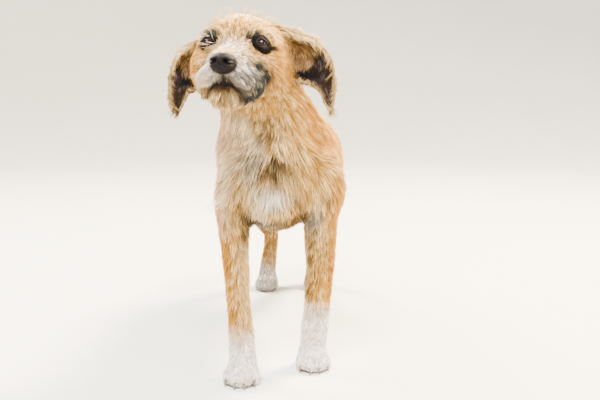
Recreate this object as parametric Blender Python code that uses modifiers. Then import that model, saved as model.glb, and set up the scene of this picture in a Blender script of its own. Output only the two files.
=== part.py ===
"""A life-size still model of a small wire-haired terrier cross, standing with its head raised and turned.

The dog faces -Y, its left side is +X and the floor is z = 0. Lengths are metres. Every solid is drawn to the
tips of the coat. The flesh is modelled as one body of overlapping masses that a voxel remesh fuses, and thin
cuts then part it where a person would name its parts. Eyes, nose, ears and claws are solids of their own.
"""

import math

import bmesh
import bpy
import numpy as np
from mathutils import Matrix, Vector

# Driving dimensions
WITHERS = 0.360  # height at the shoulder blades
CHEST_FLOOR = 0.179  # height of the breastbone
CHEST_HALF = 0.092  # half the width of the rib cage
CROUP = 0.352
BODY_FRONT = -0.196  # y of the breast
BODY_BACK = 0.212  # y of the rump
ELBOW_HEIGHT = 0.195
WRIST_HEIGHT = 0.062
HOCK_HEIGHT = 0.108
FORE_X = 0.059  # elbow, from the middle plane
PAW_X = 0.046
FORE_TOE_Y = {"right": -0.235, "left": -0.187}  # the right forefoot stands a step ahead
HIND_TOE_Y = {"right": 0.185, "left": 0.196}
HIND_PAW_X = {"right": -0.031, "left": 0.056}  # the hindquarters stand a little to the dog's left
HIND_SHIFT = 0.005
SIDES = {"right": -1.0, "left": 1.0}

# The head: its own axes are the body's, with the origin in the middle of the skull.
SKULL = Vector((-0.046, -0.148, 0.410))
HEAD_TURN, HEAD_LIFT, HEAD_TILT = math.radians(-6.5), math.radians(-8.5), math.radians(2)
EYE = Vector((0.0325, -0.0455, 0.0145))
EYE_RADIUS = 0.0105
NOSE = Vector((0.0, -0.113, -0.019))
NOSE_HALF, NOSE_RISE, NOSE_DEPTH = 0.0150, 0.0105, 0.013

# Spread, drop, slump, tuck, trim and lift of each ear, see ear_mesh.
EAR_HANG = {
    "left": (1.16, 0.003, 0.002, -0.008, 0.0120, 0.009),
    "right": (0.83, 0.012, 0.012, 0.006, -0.009, 0.0),
}
EAR_THICKNESS = 0.0085

# Making
GAP = 0.0006  # width of the cuts between parts
BODY_VOXEL, DETAIL_VOXEL = 0.004, 0.003
HEAD_TRIANGLES, BODY_TRIANGLES = 1400, 2200
RING_SIDES = 28
FLAT_ANGLE = 4.5  # degrees between triangles that count as flat

COATS = {
    "tan": ((0.62, 0.39, 0.20), 0.85),
    "cream": ((0.76, 0.60, 0.42), 0.85),
    "white": ((0.82, 0.76, 0.68), 0.85),
    "ear_brown": ((0.20, 0.13, 0.10), 0.85),
    "nose_leather": ((0.030, 0.027, 0.028), 0.40),
    "eye_dark": ((0.045, 0.022, 0.012), 0.08),
    "claw_horn": ((0.06, 0.05, 0.045), 0.45),
}


def clear_scene():
    for obj in list(bpy.data.objects):
        bpy.data.objects.remove(obj, do_unlink=True)


def collection(name):
    made = bpy.data.collections.new(name)
    bpy.context.scene.collection.children.link(made)
    return made


def coat(name):
    material = bpy.data.materials.get(name) or bpy.data.materials.new(name)
    colour, roughness = COATS[name]
    material.use_nodes = True
    shader = material.node_tree.nodes["Principled BSDF"]
    shader.inputs["Base Color"].default_value = (*colour, 1.0)
    shader.inputs["Roughness"].default_value = roughness
    return material


def add_object(name, mesh, into):
    obj = bpy.data.objects.new(name, mesh)
    into.objects.link(obj)
    return obj


def evaluated_mesh(obj):
    """A new mesh of obj with its modifiers applied."""
    bpy.context.view_layer.update()
    graph = bpy.context.evaluated_depsgraph_get()
    return bpy.data.meshes.new_from_object(obj.evaluated_get(graph))


def with_modifiers(mesh, *settings):
    """The mesh after a stack of modifiers, each given as (type, its properties)."""
    obj = add_object("work", mesh, bpy.context.scene.collection)
    for kind, properties in settings:
        modifier = obj.modifiers.new(kind.lower(), kind)
        for key, value in properties.items():
            setattr(modifier, key, value)
    made = evaluated_mesh(obj)
    bpy.data.objects.remove(obj)
    return made


def mesh_of(bm, name):
    bmesh.ops.recalc_face_normals(bm, faces=bm.faces)
    mesh = bpy.data.meshes.new(name)
    bm.to_mesh(mesh)
    bm.free()
    return mesh


def joined(meshes):
    bm = bmesh.new()
    for mesh in meshes:
        bm.from_mesh(mesh)
    mesh = bpy.data.meshes.new("joined")
    bm.to_mesh(mesh)
    bm.free()
    return mesh


def smooth_row(rows, spans):
    """Rows of numbers, with more put between them on a Catmull-Rom spline."""
    rows = np.array(rows, float)
    ends = np.vstack([2 * rows[0] - rows[1], rows, 2 * rows[-1] - rows[-2]])
    made = []
    for a, b, c, d in zip(ends, ends[1:], ends[2:], ends[3:]):
        for t in np.linspace(0, 1, spans, endpoint=False):
            linear, square, cube = c - a, 2 * a - 5 * b + 4 * c - d, 3 * b - a - 3 * c + d
            made.append(b + 0.5 * t * (linear + t * (square + t * cube)))
    made.append(rows[-1])
    return np.array(made)


def loft(stations, facing=(0, 0, 1), spans=4, matrix=None):
    """A closed form through egg-shaped sections along a path.

    A station is (x, y, z, half width, reach towards facing, reach away from it).
    """
    rows = smooth_row(stations, spans)
    bm = bmesh.new()
    rings = []
    for i, row in enumerate(rows):
        ahead, behind = rows[min(i + 1, len(rows) - 1)], rows[max(i - 1, 0)]
        along = Vector(ahead[:3] - behind[:3]).normalized()
        side = along.cross(Vector(facing)).normalized()
        up = side.cross(along)
        width, above, below = np.maximum(row[3:], 0.001)
        ring = []
        for k in range(RING_SIDES):
            turn = 2 * math.pi * k / RING_SIDES
            rise = math.sin(turn)
            reach = up * rise * (above if rise > 0 else below)
            ring.append(bm.verts.new(Vector(row[:3]) + side * width * math.cos(turn) + reach))
        rings.append(ring)
    for first, second in zip(rings, rings[1:]):
        for k in range(RING_SIDES):
            after = (k + 1) % RING_SIDES
            bm.faces.new((first[k], first[after], second[after], second[k]))
    bm.faces.new(rings[0])
    bm.faces.new(rings[-1])
    if matrix:
        bm.transform(matrix)
    return mesh_of(bm, "loft")


def ball(centre, radii, turn=0.0, axis="X", matrix=None, sides=28):
    """An ellipsoid, turned in degrees about one of its axes."""
    place = Matrix.Translation(centre) @ Matrix.Rotation(math.radians(turn), 4, axis)
    bm = bmesh.new()
    shape = place @ Matrix.Diagonal((*radii, 1.0))
    bmesh.ops.create_uvsphere(bm, u_segments=sides, v_segments=2 * sides // 3, radius=1.0, matrix=shape)
    if matrix:
        bm.transform(matrix)
    return mesh_of(bm, "ball")


def both_sides(centre, radii, turn=0.0, axis="X", matrix=None):
    """An ellipsoid and its mirror image in the middle plane."""
    x, y, z = centre
    mirrored = turn if axis == "X" else -turn
    return [
        ball((x, y, z), radii, turn, axis, matrix),
        ball((-x, y, z), radii, mirrored, axis, matrix),
    ]


def fused(meshes, voxel, softening):
    """One skin round overlapping forms, its creases softened."""
    return with_modifiers(
        joined(meshes),
        ("REMESH", {"mode": "VOXEL", "voxel_size": voxel}),
        ("SMOOTH", {"factor": 0.5, "iterations": softening}),
    )


# ---------------------------------------------------------------- the masses of the body


def trunk_masses():
    """The barrel of the body, from the breast to the rump, with the shoulders and hips on it."""
    middle, half = 0.265, CHEST_HALF
    top, floor = WITHERS - middle, middle - CHEST_FLOOR
    barrel = loft(
        [
            (0.000, BODY_FRONT, middle + 0.004, 0.026, 0.030, 0.034),
            (0.000, BODY_FRONT + 0.018, middle + 0.003, 0.058, 0.055, 0.054),
            (0.000, BODY_FRONT + 0.052, middle, 0.80 * half, 0.80 * top, 0.80 * floor),
            (0.001, -0.095, middle, 0.94 * half, top, 0.97 * floor),
            (0.004, -0.025, middle, half, 0.98 * top, floor),
            (0.007, 0.045, middle + 0.003, 0.96 * half, 0.90 * top, 0.92 * floor),
            (0.010, 0.100, middle + 0.009, 0.84 * half, 0.82 * top, 0.76 * floor),
            (HIND_SHIFT, 0.150, CROUP - 0.072, 0.80 * half, 0.072, 0.058),
            (HIND_SHIFT, 0.190, CROUP - 0.070, 0.055, 0.058, 0.048),
            (HIND_SHIFT, BODY_BACK, CROUP - 0.068, 0.024, 0.026, 0.024),
        ]
    )
    breast = ball((-0.004, BODY_FRONT + 0.022, 0.238), (0.040, 0.026, 0.040))
    brisket = ball((-0.002, -0.115, 0.208), (0.040, 0.066, 0.028))
    withers = ball((0.0, -0.080, WITHERS - 0.052), (0.045, 0.062, 0.050))
    forms = [barrel, breast, brisket, withers]
    for name, side in SIDES.items():
        blade = 0.057 if name == "right" else 0.045
        forms.append(ball((blade * side, -0.108, 0.289), (0.033, 0.050, 0.058), 18))
        ahead = -0.008 if name == "right" else 0.0
        out = 0.053 if name == "right" else 0.060
        forms.append(ball((out * side, -0.142 + ahead, 0.248), (0.033, 0.046, 0.056), -16))
        forms.append(ball((HIND_SHIFT + 0.044 * side, 0.142, 0.276), (0.034, 0.060, 0.064), 12))
    return forms


def neck_mass():
    """From the chest up to the back of the skull, leaning to the dog's right."""
    return loft(
        [
            (0.002, -0.095, 0.268, 0.060, 0.070, 0.070),
            (-0.006, -0.112, 0.310, 0.070, 0.070, 0.062),
            (-0.018, -0.124, 0.345, 0.065, 0.056, 0.064),
            (-0.029, -0.130, 0.375, 0.055, 0.049, 0.060),
            (-0.040, -0.134, 0.402, 0.051, 0.044, 0.054),
        ],
        facing=(0, -1, 0),
    )


def foreleg_mass(name):
    """Upper arm to pastern. The reaches are to the front and to the back."""
    side = SIDES[name]
    ahead = FORE_TOE_Y[name] - FORE_TOE_Y["left"]
    elbow, wrist, paw = -0.130 + 0.4 * ahead, -0.142 + 0.8 * ahead, -0.150 + ahead
    out = 0.002 if name == "left" else 0.0  # its outer side carries longer hair
    return loft(
        [
            (0.060 * side, elbow - 0.020, 0.250, 0.0245, 0.036, 0.036),
            (0.061 * side, elbow - 0.008, ELBOW_HEIGHT + 0.018, 0.024, 0.032, 0.034),
            (FORE_X * side, elbow - 0.004, ELBOW_HEIGHT - 0.012, 0.0215, 0.026, 0.029),
            (0.056 * side + out, 0.6 * elbow + 0.4 * wrist, 0.146, 0.0195 + out, 0.0205, 0.0220),
            (0.052 * side + out, wrist, 0.100, 0.0178 + out, 0.0175, 0.0180),
            (0.050 * side + out, wrist - 0.003, 0.076, 0.0182 + out, 0.0185, 0.0185),
            (0.048 * side + 0.5 * out, wrist - 0.007, 0.050, 0.0185 + 0.5 * out, 0.0180, 0.0185),
            (PAW_X * side, paw, 0.026, 0.0190, 0.0200, 0.0200),
            (PAW_X * side, paw - 0.002, 0.010, 0.0170, 0.0180, 0.0180),
        ],
        facing=(0, -1, 0),
    )


def hindleg_mass(name):
    """Thigh, stifle, shank, hock and pastern."""
    side, paw_x = SIDES[name], HIND_PAW_X[name]
    middle = HIND_SHIFT
    back = HIND_TOE_Y[name] - HIND_TOE_Y["right"]
    hock_x = paw_x - 0.006 * side
    return loft(
        [
            (middle + 0.044 * side, 0.158, 0.290, 0.028, 0.050, 0.046),
            (middle + 0.052 * side, 0.138, 0.245, 0.031, 0.052, 0.056),
            (middle + 0.056 * side, 0.134 + 0.2 * back, 0.208, 0.027, 0.042, 0.046),
            (middle + 0.054 * side, 0.162 + 0.5 * back, 0.168, 0.022, 0.028, 0.033),
            (0.5 * (middle + 0.052 * side + hock_x), 0.200 + 0.8 * back, 0.130, 0.0180, 0.0215, 0.0235),
            (hock_x, 0.226 + back, HOCK_HEIGHT, 0.0150, 0.0185, 0.0200),
            (hock_x, 0.230 + back, 0.080, 0.0142, 0.0165, 0.0165),
            (0.7 * paw_x + 0.3 * hock_x, 0.227 + back, 0.050, 0.0155, 0.0170, 0.0170),
            (paw_x, 0.220 + back, 0.026, 0.0175, 0.0190, 0.0175),
            (paw_x, 0.217 + back, 0.010, 0.0160, 0.0170, 0.0165),
        ],
        facing=(0, -1, 0),
    )


def paw_frame(name, hind):
    """Where a foot stands: (middle of the paw, its width factor, its turn outwards)."""
    side = SIDES[name]
    if hind:
        return Vector((HIND_PAW_X[name], HIND_TOE_Y[name] + 0.029, 0.0)), 0.86, 0.14 * side
    return Vector((PAW_X * side, FORE_TOE_Y[name] + 0.031, 0.0)), 1.0, 0.07 * side


def toe_places(name, hind):
    """(toe end, direction) for the four toes of a foot, from its right to its left."""
    middle, wide, turn = paw_frame(name, hind)
    turned = Matrix.Rotation(turn, 3, "Z")
    toes = []
    for across, reach in ((-1.5, 0.019), (-0.5, 0.0275), (0.5, 0.0275), (1.5, 0.019)):
        splay = Matrix.Rotation(across * 0.10, 3, "Z")
        end = middle + turned @ Vector((across * 0.0122 * wide, -reach * wide, 0.0))
        toes.append((end, turned @ splay @ Vector((0, -1, 0))))
    return toes


def paw_masses(name, hind):
    """The pad and instep of a foot, and its four toes."""
    middle, wide, turn = paw_frame(name, hind)
    place = Matrix.Translation(middle) @ Matrix.Rotation(turn, 4, "Z")
    forms = [
        ball((0, 0.008, 0.013), (0.0205 * wide, 0.023, 0.018), matrix=place),
        ball((0, -0.006, 0.016), (0.0210 * wide, 0.020, 0.016), -14, matrix=place),
    ]
    for end, ahead in toe_places(name, hind):
        root = end - 0.020 * ahead
        forms.append(
            loft(
                [
                    (*(root + Vector((0, 0, 0.017))), 0.0072, 0.0080, 0.0080),
                    (*(root + 0.010 * ahead + Vector((0, 0, 0.0145))), 0.0080, 0.0085, 0.0150),
                    (*(root + 0.018 * ahead + Vector((0, 0, 0.0100))), 0.0078, 0.0078, 0.0120),
                    (*(end + 0.003 * ahead + Vector((0, 0, 0.0075))), 0.0050, 0.0050, 0.0080),
                ]
            )
        )
    return forms


def tail_mass():
    """Carried low behind the rump, with a slight upward curve at its end."""
    x = HIND_SHIFT
    return loft(
        [
            (x, 0.165, 0.318, 0.026, 0.026, 0.026),
            (x, 0.205, 0.318, 0.021, 0.021, 0.023),
            (x + 0.003, 0.245, 0.304, 0.0185, 0.017, 0.021),
            (x + 0.006, 0.285, 0.284, 0.0180, 0.016, 0.022),
            (x + 0.009, 0.322, 0.270, 0.0165, 0.015, 0.021),
            (x + 0.012, 0.355, 0.268, 0.0130, 0.012, 0.016),
            (x + 0.014, 0.380, 0.275, 0.0060, 0.006, 0.007),
        ]
    )


# ---------------------------------------------------------------- the head


def head_place():
    turned = Matrix.Rotation(HEAD_TURN, 4, "Z") @ Matrix.Rotation(HEAD_LIFT, 4, "X")
    return Matrix.Translation(SKULL) @ turned @ Matrix.Rotation(HEAD_TILT, 4, "Y")


def head_masses(place):
    """Skull, brows, cheeks, muzzle with its moustache, and the bearded chin."""
    muzzle = loft(
        [
            (0, -0.020, 0.000, 0.040, 0.034, 0.036),
            (0, -0.052, -0.007, 0.032, 0.024, 0.034),
            (0, -0.080, -0.012, 0.0265, 0.0175, 0.030),
            (0, -0.102, -0.016, 0.0220, 0.0135, 0.024),
            (0, -0.114, -0.019, 0.0140, 0.0095, 0.016),
        ],
        matrix=place,
    )
    chin = loft(
        [
            (0, 0.000, -0.030, 0.036, 0.020, 0.020),
            (0, -0.040, -0.042, 0.031, 0.016, 0.020),
            (0, -0.072, -0.050, 0.024, 0.012, 0.016),
            (0, -0.096, -0.053, 0.0170, 0.010, 0.013),
            (0, -0.106, -0.053, 0.0080, 0.006, 0.008),
        ],
        matrix=place,
    )
    cranium = ball((0, 0.004, 0.012), (0.061, 0.062, 0.048), matrix=place)
    forelock = ball((0, -0.012, 0.028), (0.040, 0.038, 0.032), matrix=place)
    nape = ball((0, 0.038, -0.004), (0.046, 0.036, 0.042), matrix=place)
    forms = [muzzle, chin, cranium, forelock, nape]
    forms += both_sides((0.038, 0.000, -0.010), (0.029, 0.050, 0.036), matrix=place)
    forms += both_sides((0.029, -0.037, 0.028), (0.021, 0.014, 0.010), 8, "Y", matrix=place)
    forms += both_sides((0.031, -0.038, -0.014), (0.019, 0.024, 0.020), matrix=place)
    forms += both_sides((0.0165, -0.086, -0.034), (0.0205, 0.026, 0.0165), 14, "Z", matrix=place)
    forms += both_sides((0.0270, -0.064, -0.036), (0.0170, 0.030, 0.0190), matrix=place)
    return forms


def ear_mesh(place, side, spread, drop, slump, tuck, trim, lift):
    """A folded drop ear: it stands out from the skull, arches over and hangs, hollow to the front.

    Spread widens it sideways, drop lowers its root, slump rounds its arch off, tuck draws its tip in, trim
    takes width off the inner edge of the hanging lobe and lift raises its tip. The two lists are its outer rim
    and its inner rim, root to tip.
    """
    outer = [
        (0.030, -0.004, 0.059),
        (0.062, 0.002, 0.046),
        (0.088, 0.005, 0.037),
        (0.105, 0.005, 0.012),
        (0.110, 0.001, -0.022),
        (0.108, -0.004, -0.052),
        (0.102, -0.006, -0.066),
    ]
    inner = [
        (0.042, 0.028, -0.014),
        (0.058, 0.018, -0.018),
        (0.070, 0.008, -0.020),
        (0.078, 0.000, -0.024),
        (0.084, -0.006, -0.040),
        (0.091, -0.009, -0.058),
        (0.098, -0.008, -0.068),
    ]
    spans, across = 3, 6
    rims = list(zip(smooth_row(outer, spans), smooth_row(inner, spans)))
    bm = bmesh.new()
    rings = []
    for i, (a, b) in enumerate(rims):
        share = i / (len(rims) - 1)
        ahead, behind = rims[min(i + 1, len(rims) - 1)], rims[max(i - 1, 0)]
        along = Vector(sum(ahead) - sum(behind))
        corner = math.sin(math.pi * min(1.0, 1.4 * share)) ** 2
        hanging = min(1.0, max(0.0, (share - 0.40) / 0.26))
        trimmed = trim * hanging**2 * (3 - 2 * hanging) * (1 - 0.45 * max(0.0, share - 0.66) / 0.34)
        flat = Vector(b - a).cross(along).normalized()
        flat = flat if flat.y < 0 else -flat
        front, back = [], []
        for t in np.linspace(0, 1, across):
            point = Vector(a * (1 - t) + b * t)
            point.y += 0.019 * math.sin(math.pi * t) * (1 - 0.75 * share)
            point.x += trimmed * t / spread
            thick = 0.5 * EAR_THICKNESS * (0.35 + 0.65 * math.sin(math.pi * t)) * (1 - 0.45 * share**3)
            front.append(point + flat * thick)
            back.append(point - flat * thick)
        ring = []
        for point in front + back[::-1]:
            out = 0.045 + (point.x - 0.045) * spread - tuck * share**3
            low = point.z - drop * (1 - share) ** 0.7 - slump * corner + lift * share**3
            ring.append(bm.verts.new((side * out, point.y, low)))
        rings.append(ring)
    count = len(rings[0])
    for first, second in zip(rings, rings[1:]):
        for k in range(count):
            after = (k + 1) % count
            bm.faces.new((first[k], first[after], second[after], second[k]))
    bm.faces.new(rings[0])
    bm.faces.new(rings[-1])
    bm.transform(place)
    return mesh_of(bm, "ear")


def nose_mesh(place, grow=0.0):
    """The nose leather: a rounded wedge, wider above, with two comma-shaped nostrils."""
    half, rise, depth = NOSE_HALF + grow, NOSE_RISE + grow, NOSE_DEPTH + grow
    forms = [
        ball(NOSE + Vector((0, 0, 0.002)), (half, depth, rise * 0.88)),
        ball(NOSE + Vector((0, 0.001, -0.006)), (0.62 * half, 0.9 * depth, 0.66 * rise)),
        *both_sides(NOSE + Vector((0.46 * half, -0.001, -0.002)), (0.54 * half, 0.9 * depth, 0.62 * rise)),
    ]
    return forms, place


def made_nose(place):
    forms, _ = nose_mesh(place)
    solid = fused(forms, 0.0010, 3)
    holes = []
    for side in SIDES.values():
        centre = NOSE + Vector((0.0072 * side, -0.0125, 0.0005))
        holes.append(ball(centre, (0.0030, 0.0052, 0.0036), 25 * side, "Y", sides=9))
        slit = NOSE + Vector((0.0118 * side, -0.0095, -0.0022))
        holes.append(ball(slit, (0.0035, 0.0042, 0.0015), -20 * side, "Y", sides=9))
    cutter = add_object("nostrils", joined(holes), bpy.data.collections["cutters"])
    cut = with_modifiers(
        solid,
        ("DECIMATE", {"ratio": 0.026}),
        ("BOOLEAN", {"operation": "DIFFERENCE", "object": cutter, "use_self": True}),
    )
    cut.transform(place)
    bpy.data.objects.remove(cutter)
    return cut


# ---------------------------------------------------------------- cutting and placing


def boolean(mesh, cutter_mesh, operation):
    cutter = add_object("cutter", cutter_mesh, bpy.data.collections["cutters"])
    cutter.hide_render = True
    made = with_modifiers(mesh, ("BOOLEAN", {"operation": operation, "object": cutter}))
    bpy.data.objects.remove(cutter)
    return made


def grown(mesh, amount):
    """A closed mesh with every face moved out by the same amount."""
    bm = bmesh.new()
    bm.from_mesh(mesh)
    bm.normal_update()
    moves = [v.normal * (amount * v.calc_shell_factor()) for v in bm.verts]
    for vert, move in zip(bm.verts, moves):
        vert.co += move
    made = bpy.data.meshes.new("grown")
    bm.to_mesh(made)
    bm.free()
    return made


def parted(body, region):
    """(the part of body inside a convex region, the rest of it), with a thin cut between them."""
    inside = boolean(body, region.copy(), "INTERSECT")
    outside = boolean(body, grown(region, GAP), "DIFFERENCE")
    return inside, outside


def prism(outline, axis, low, high, matrix=None):
    """A prism on an outline. Axis X takes (y, z) points, axis Y takes (x, z) points."""
    bm = bmesh.new()
    rings = []
    for at in (low, high):
        corners = [(at, a, b) if axis == "X" else (a, at, b) for a, b in outline]
        rings.append([bm.verts.new(corner) for corner in corners])
    bm.faces.new(rings[0])
    bm.faces.new(rings[1])
    for k in range(len(outline)):
        after = (k + 1) % len(outline)
        bm.faces.new((rings[0][k], rings[0][after], rings[1][after], rings[1][k]))
    if matrix:
        bm.transform(matrix)
    return mesh_of(bm, "prism")


def thinned(mesh, triangles):
    count = sum(len(face.vertices) - 2 for face in mesh.polygons)
    return with_modifiers(mesh, ("DECIMATE", {"ratio": min(1.0, triangles / count)}))


def head_region(place, drop=0.0):
    """Everything above a plane that runs from under the chin to the back of the skull."""
    outline = [
        (-0.20, -0.135 - drop),
        (-0.010, -0.060 - drop),
        (0.090, 0.010 - drop),
        (0.090, 0.12),
        (-0.20, 0.12),
    ]
    return prism(outline, "X", -0.16, 0.16, place)


def neck_region():
    """Above a plane from the breast to the withers."""
    return prism([(-0.30, 0.236), (-0.215, 0.284), (-0.040, 0.372), (-0.040, 0.52), (-0.30, 0.52)], "X", -0.2, 0.2)


def limb_region(outline, middle, side, centre, radii):
    """One leg and its muscle: outside a slanted plane and under an arch, seen from the side.

    The outline is of (distance outwards, z) points. The arch is given by its (y, z) centre and its radii.
    """
    wedge = prism([(middle + x * side, z) for x, z in outline], "Y", -0.5, 0.5)
    turns = [math.pi * k / 14 for k in range(15)]
    arch = [(centre[0] + radii[0] * math.cos(t), centre[1] + radii[1] * math.sin(t)) for t in turns]
    arch += [(centre[0] - radii[0], -0.02), (centre[0] + radii[0], -0.02)]
    return boolean(wedge, prism(arch, "X", -0.2, 0.2), "INTERSECT")


def shoulder_region(side):
    """The foreleg with its upper arm."""
    outline = [(0.020, -0.01), (0.020, 0.150), (0.036, 0.186), (0.150, 0.330), (0.150, -0.01)]
    return limb_region(outline, 0.0, side, (-0.164, 0.232), (0.084, 0.066))


def thigh_region(side):
    """The hind leg with its thigh."""
    outline = [(0.004, -0.01), (0.004, 0.150), (0.022, 0.205), (0.150, 0.362), (0.150, -0.01)]
    return limb_region(outline, HIND_SHIFT, side, (0.170, 0.240), (0.096, 0.086))


def below(height, at=0.0, rise=0.0):
    """The space under a plane that has this height at y = at and rises towards the back."""
    outline = [(y, height + rise * (y - at)) for y in (-0.4, 0.4)]
    return prism([*outline, (0.4, -0.3), (-0.4, -0.3)], "X", -0.3, 0.3)


def is_closed(mesh):
    """Whether every edge has exactly two faces, and every vertex has more than two edges."""
    bm = bmesh.new()
    bm.from_mesh(mesh)
    shut = all(len(edge.link_faces) == 2 for edge in bm.edges)
    shut = shut and all(len(vert.link_edges) > 2 for vert in bm.verts)
    bm.free()
    return shut


def finish(name, mesh, finish_name, into, flat_angle=FLAT_ANGLE):
    """Puts a part among the dog's parts, its coplanar triangles merged and its cut edges sharp."""
    for angle in (flat_angle, 0.5 * flat_angle, 0.02):
        flat = {"decimate_type": "DISSOLVE", "angle_limit": math.radians(angle)}
        lean = with_modifiers(mesh.copy(), ("DECIMATE", flat), ("TRIANGULATE", {}))
        if is_closed(lean):
            break
    else:
        lean = with_modifiers(mesh, ("TRIANGULATE", {}))
    obj = add_object(name, lean, into)
    obj.data.name = name
    obj.data.materials.clear()
    obj.data.materials.append(coat(finish_name))
    obj.data.shade_smooth()
    obj.data.set_sharp_from_angle(angle=math.radians(42))
    return obj


def claw_mesh(end, ahead, wide):
    """A short curved claw that points forwards and down from a toe's end."""
    root = end + Vector((0, 0, 0.0094)) - 0.0020 * ahead
    stations = []
    for share in (0.0, 0.6, 1.0):
        point = root + ahead * (0.0105 * wide * share) - Vector((0, 0, 0.0072 * share**2))
        radius = 0.0023 * wide * (1 - 0.75 * share**1.5)
        stations.append((*point, radius, 1.2 * radius, 1.2 * radius))
    rows = np.array(stations)
    bm = bmesh.new()
    rings = []
    sides = 6
    for row in rows:
        side = ahead.cross(Vector((0, 0, 1))).normalized()
        ring = []
        for k in range(sides):
            turn = 2 * math.pi * k / sides
            across = side * row[3] * math.cos(turn) + Vector((0, 0, row[4] * math.sin(turn)))
            ring.append(bm.verts.new(Vector(row[:3]) + across))
        rings.append(ring)
    for first, second in zip(rings, rings[1:]):
        for k in range(sides):
            after = (k + 1) % sides
            bm.faces.new((first[k], first[after], second[after], second[k]))
    bm.faces.new(rings[0])
    bm.faces.new(rings[-1])
    return mesh_of(bm, "claw")


def build_flesh(dog, place):
    """Head, jaw, neck, trunk, tail and legs, cut from one fused body. Returns the head for its sockets."""
    body_forms = [fused(trunk_masses() + [neck_mass()], BODY_VOXEL, 9)]
    for name in SIDES:
        body_forms += [foreleg_mass(name), hindleg_mass(name)]
    body_forms.append(tail_mass())
    torso = fused(body_forms, BODY_VOXEL, 4)
    feet = [form for name in SIDES for hind in (False, True) for form in paw_masses(name, hind)]
    head = fused(head_masses(place), DETAIL_VOXEL, 6)
    whole = fused([torso, head, *feet], DETAIL_VOXEL, 2)

    floor = prism([(-0.5, 0.0), (0.5, 0.0), (0.5, 0.8), (-0.5, 0.8)], "X", -0.5, 0.5)
    seam = 0.010  # the head and the body overlap by this until their triangles are reduced
    rough_head = thinned(boolean(whole, head_region(place, seam), "INTERSECT"), HEAD_TRIANGLES)
    rough_body = thinned(boolean(whole, head_region(place, -seam), "DIFFERENCE"), BODY_TRIANGLES)
    head = boolean(rough_head, head_region(place), "INTERSECT")
    body = boolean(rough_body, grown(head_region(place), GAP), "DIFFERENCE")
    body = boolean(body, floor, "INTERSECT")

    neck, body = parted(body, neck_region())
    finish("neck", neck, "tan", dog)
    for name, side in SIDES.items():
        leg, body = parted(body, shoulder_region(side))
        foot, leg = parted(leg, below(WRIST_HEIGHT))
        forearm, upper = parted(leg, below(ELBOW_HEIGHT - 0.004))
        finish(f"shoulder_{name}", upper, "tan", dog)
        finish(f"forearm_{name}", forearm, "tan", dog)
        finish(f"forepaw_{name}", foot, "white", dog)
        leg, body = parted(body, thigh_region(side))
        foot, leg = parted(leg, below(HOCK_HEIGHT + 0.010, 0.225, 0.25))
        shank, thigh = parted(leg, below(0.192, 0.150, 0.45))
        finish(f"thigh_{name}", thigh, "tan", dog)
        finish(f"shank_{name}", shank, "tan", dog)
        finish(f"hindpaw_{name}", foot, "white", dog)
    tail_root = prism([(0.216, 0.2), (0.500, 0.2), (0.500, 0.5), (0.216, 0.5)], "X", -0.2, 0.2)
    tail, body = parted(body, tail_root)
    tail_end = prism([(0.300, 0.2), (0.500, 0.2), (0.500, 0.5), (0.300, 0.5)], "X", -0.2, 0.2)
    tip, base = parted(tail, tail_end)
    finish("tail_base", base, "tan", dog)
    finish("tail_tip", tip, "cream", dog)
    loin = prism([(0.055, 0.0), (0.400, 0.0), (0.400, 0.5), (0.055, 0.5)], "X", -0.2, 0.2)
    hindquarters, chest = parted(body, loin)
    finish("hindquarters", hindquarters, "tan", dog)
    finish("chest", chest, "cream", dog)
    return head


def build_head(dog, place, head):
    """Sockets, nose, jaw and ears, fitted to the head with a thin gap."""
    for name, side in SIDES.items():
        centre = place @ Vector((EYE.x * side, EYE.y, EYE.z))
        socket = ball(centre, (EYE_RADIUS + GAP,) * 3, sides=18)
        head = boolean(head, socket, "DIFFERENCE")
        finish(f"eye_{name}", ball(centre, (EYE_RADIUS,) * 3, 90, "X", sides=16), "eye_dark", dog, 0.1)

    nose = made_nose(place)
    forms, _ = nose_mesh(place, 1.8 * GAP)
    room = thinned(fused(forms, 0.0012, 2), 220)
    room.transform(place)
    head = boolean(head, room, "DIFFERENCE")
    finish("nose", nose, "nose_leather", dog, 1.0)

    jaw_outline = [(-0.150, -0.0405), (-0.100, -0.0425), (-0.044, -0.0560), (-0.044, -0.12), (-0.150, -0.12)]
    jaw, head = parted(head, prism(jaw_outline, "X", -0.080, 0.080, place))
    finish("lower_jaw", jaw, "cream", dog)
    room = grown(head, GAP)
    for name, side in SIDES.items():
        ear = ear_mesh(place, side, *EAR_HANG[name])
        ear = boolean(ear, room.copy(), "DIFFERENCE")
        finish(f"ear_{name}", ear, "ear_brown", dog, 0.5)
    finish("head", head, "cream", dog)


def build_claws(dog):
    """Four claws on each foot, let into the toe ends with a thin gap."""
    for foot, hind in (("forepaw", False), ("hindpaw", True)):
        for name in SIDES:
            paw = bpy.data.objects[f"{foot}_{name}"]
            for k, (end, ahead) in enumerate(toe_places(name, hind)):
                claw = claw_mesh(end, ahead, 0.9 if hind else 1.0)
                paw_mesh = boolean(paw.data, grown(claw, 0.5 * GAP), "DIFFERENCE")
                paw.data = paw_mesh
                prefix = "hind" if hind else "fore"
                finish(f"claw_{prefix}_{name}_{k + 1}", claw, "claw_horn", dog)
            paw.data.set_sharp_from_angle(angle=math.radians(42))


def stand_on_origin(dog):
    """Moves the whole dog so that the origin is under the middle of its bounding box."""
    points = [vert.co for obj in dog.objects for vert in obj.data.vertices]
    low = [min(p[k] for p in points) for k in range(3)]
    high = [max(p[k] for p in points) for k in range(3)]
    shift = Matrix.Translation((-(low[0] + high[0]) / 2, -(low[1] + high[1]) / 2, -low[2]))
    for obj in dog.objects:
        obj.data.transform(shift)


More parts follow.
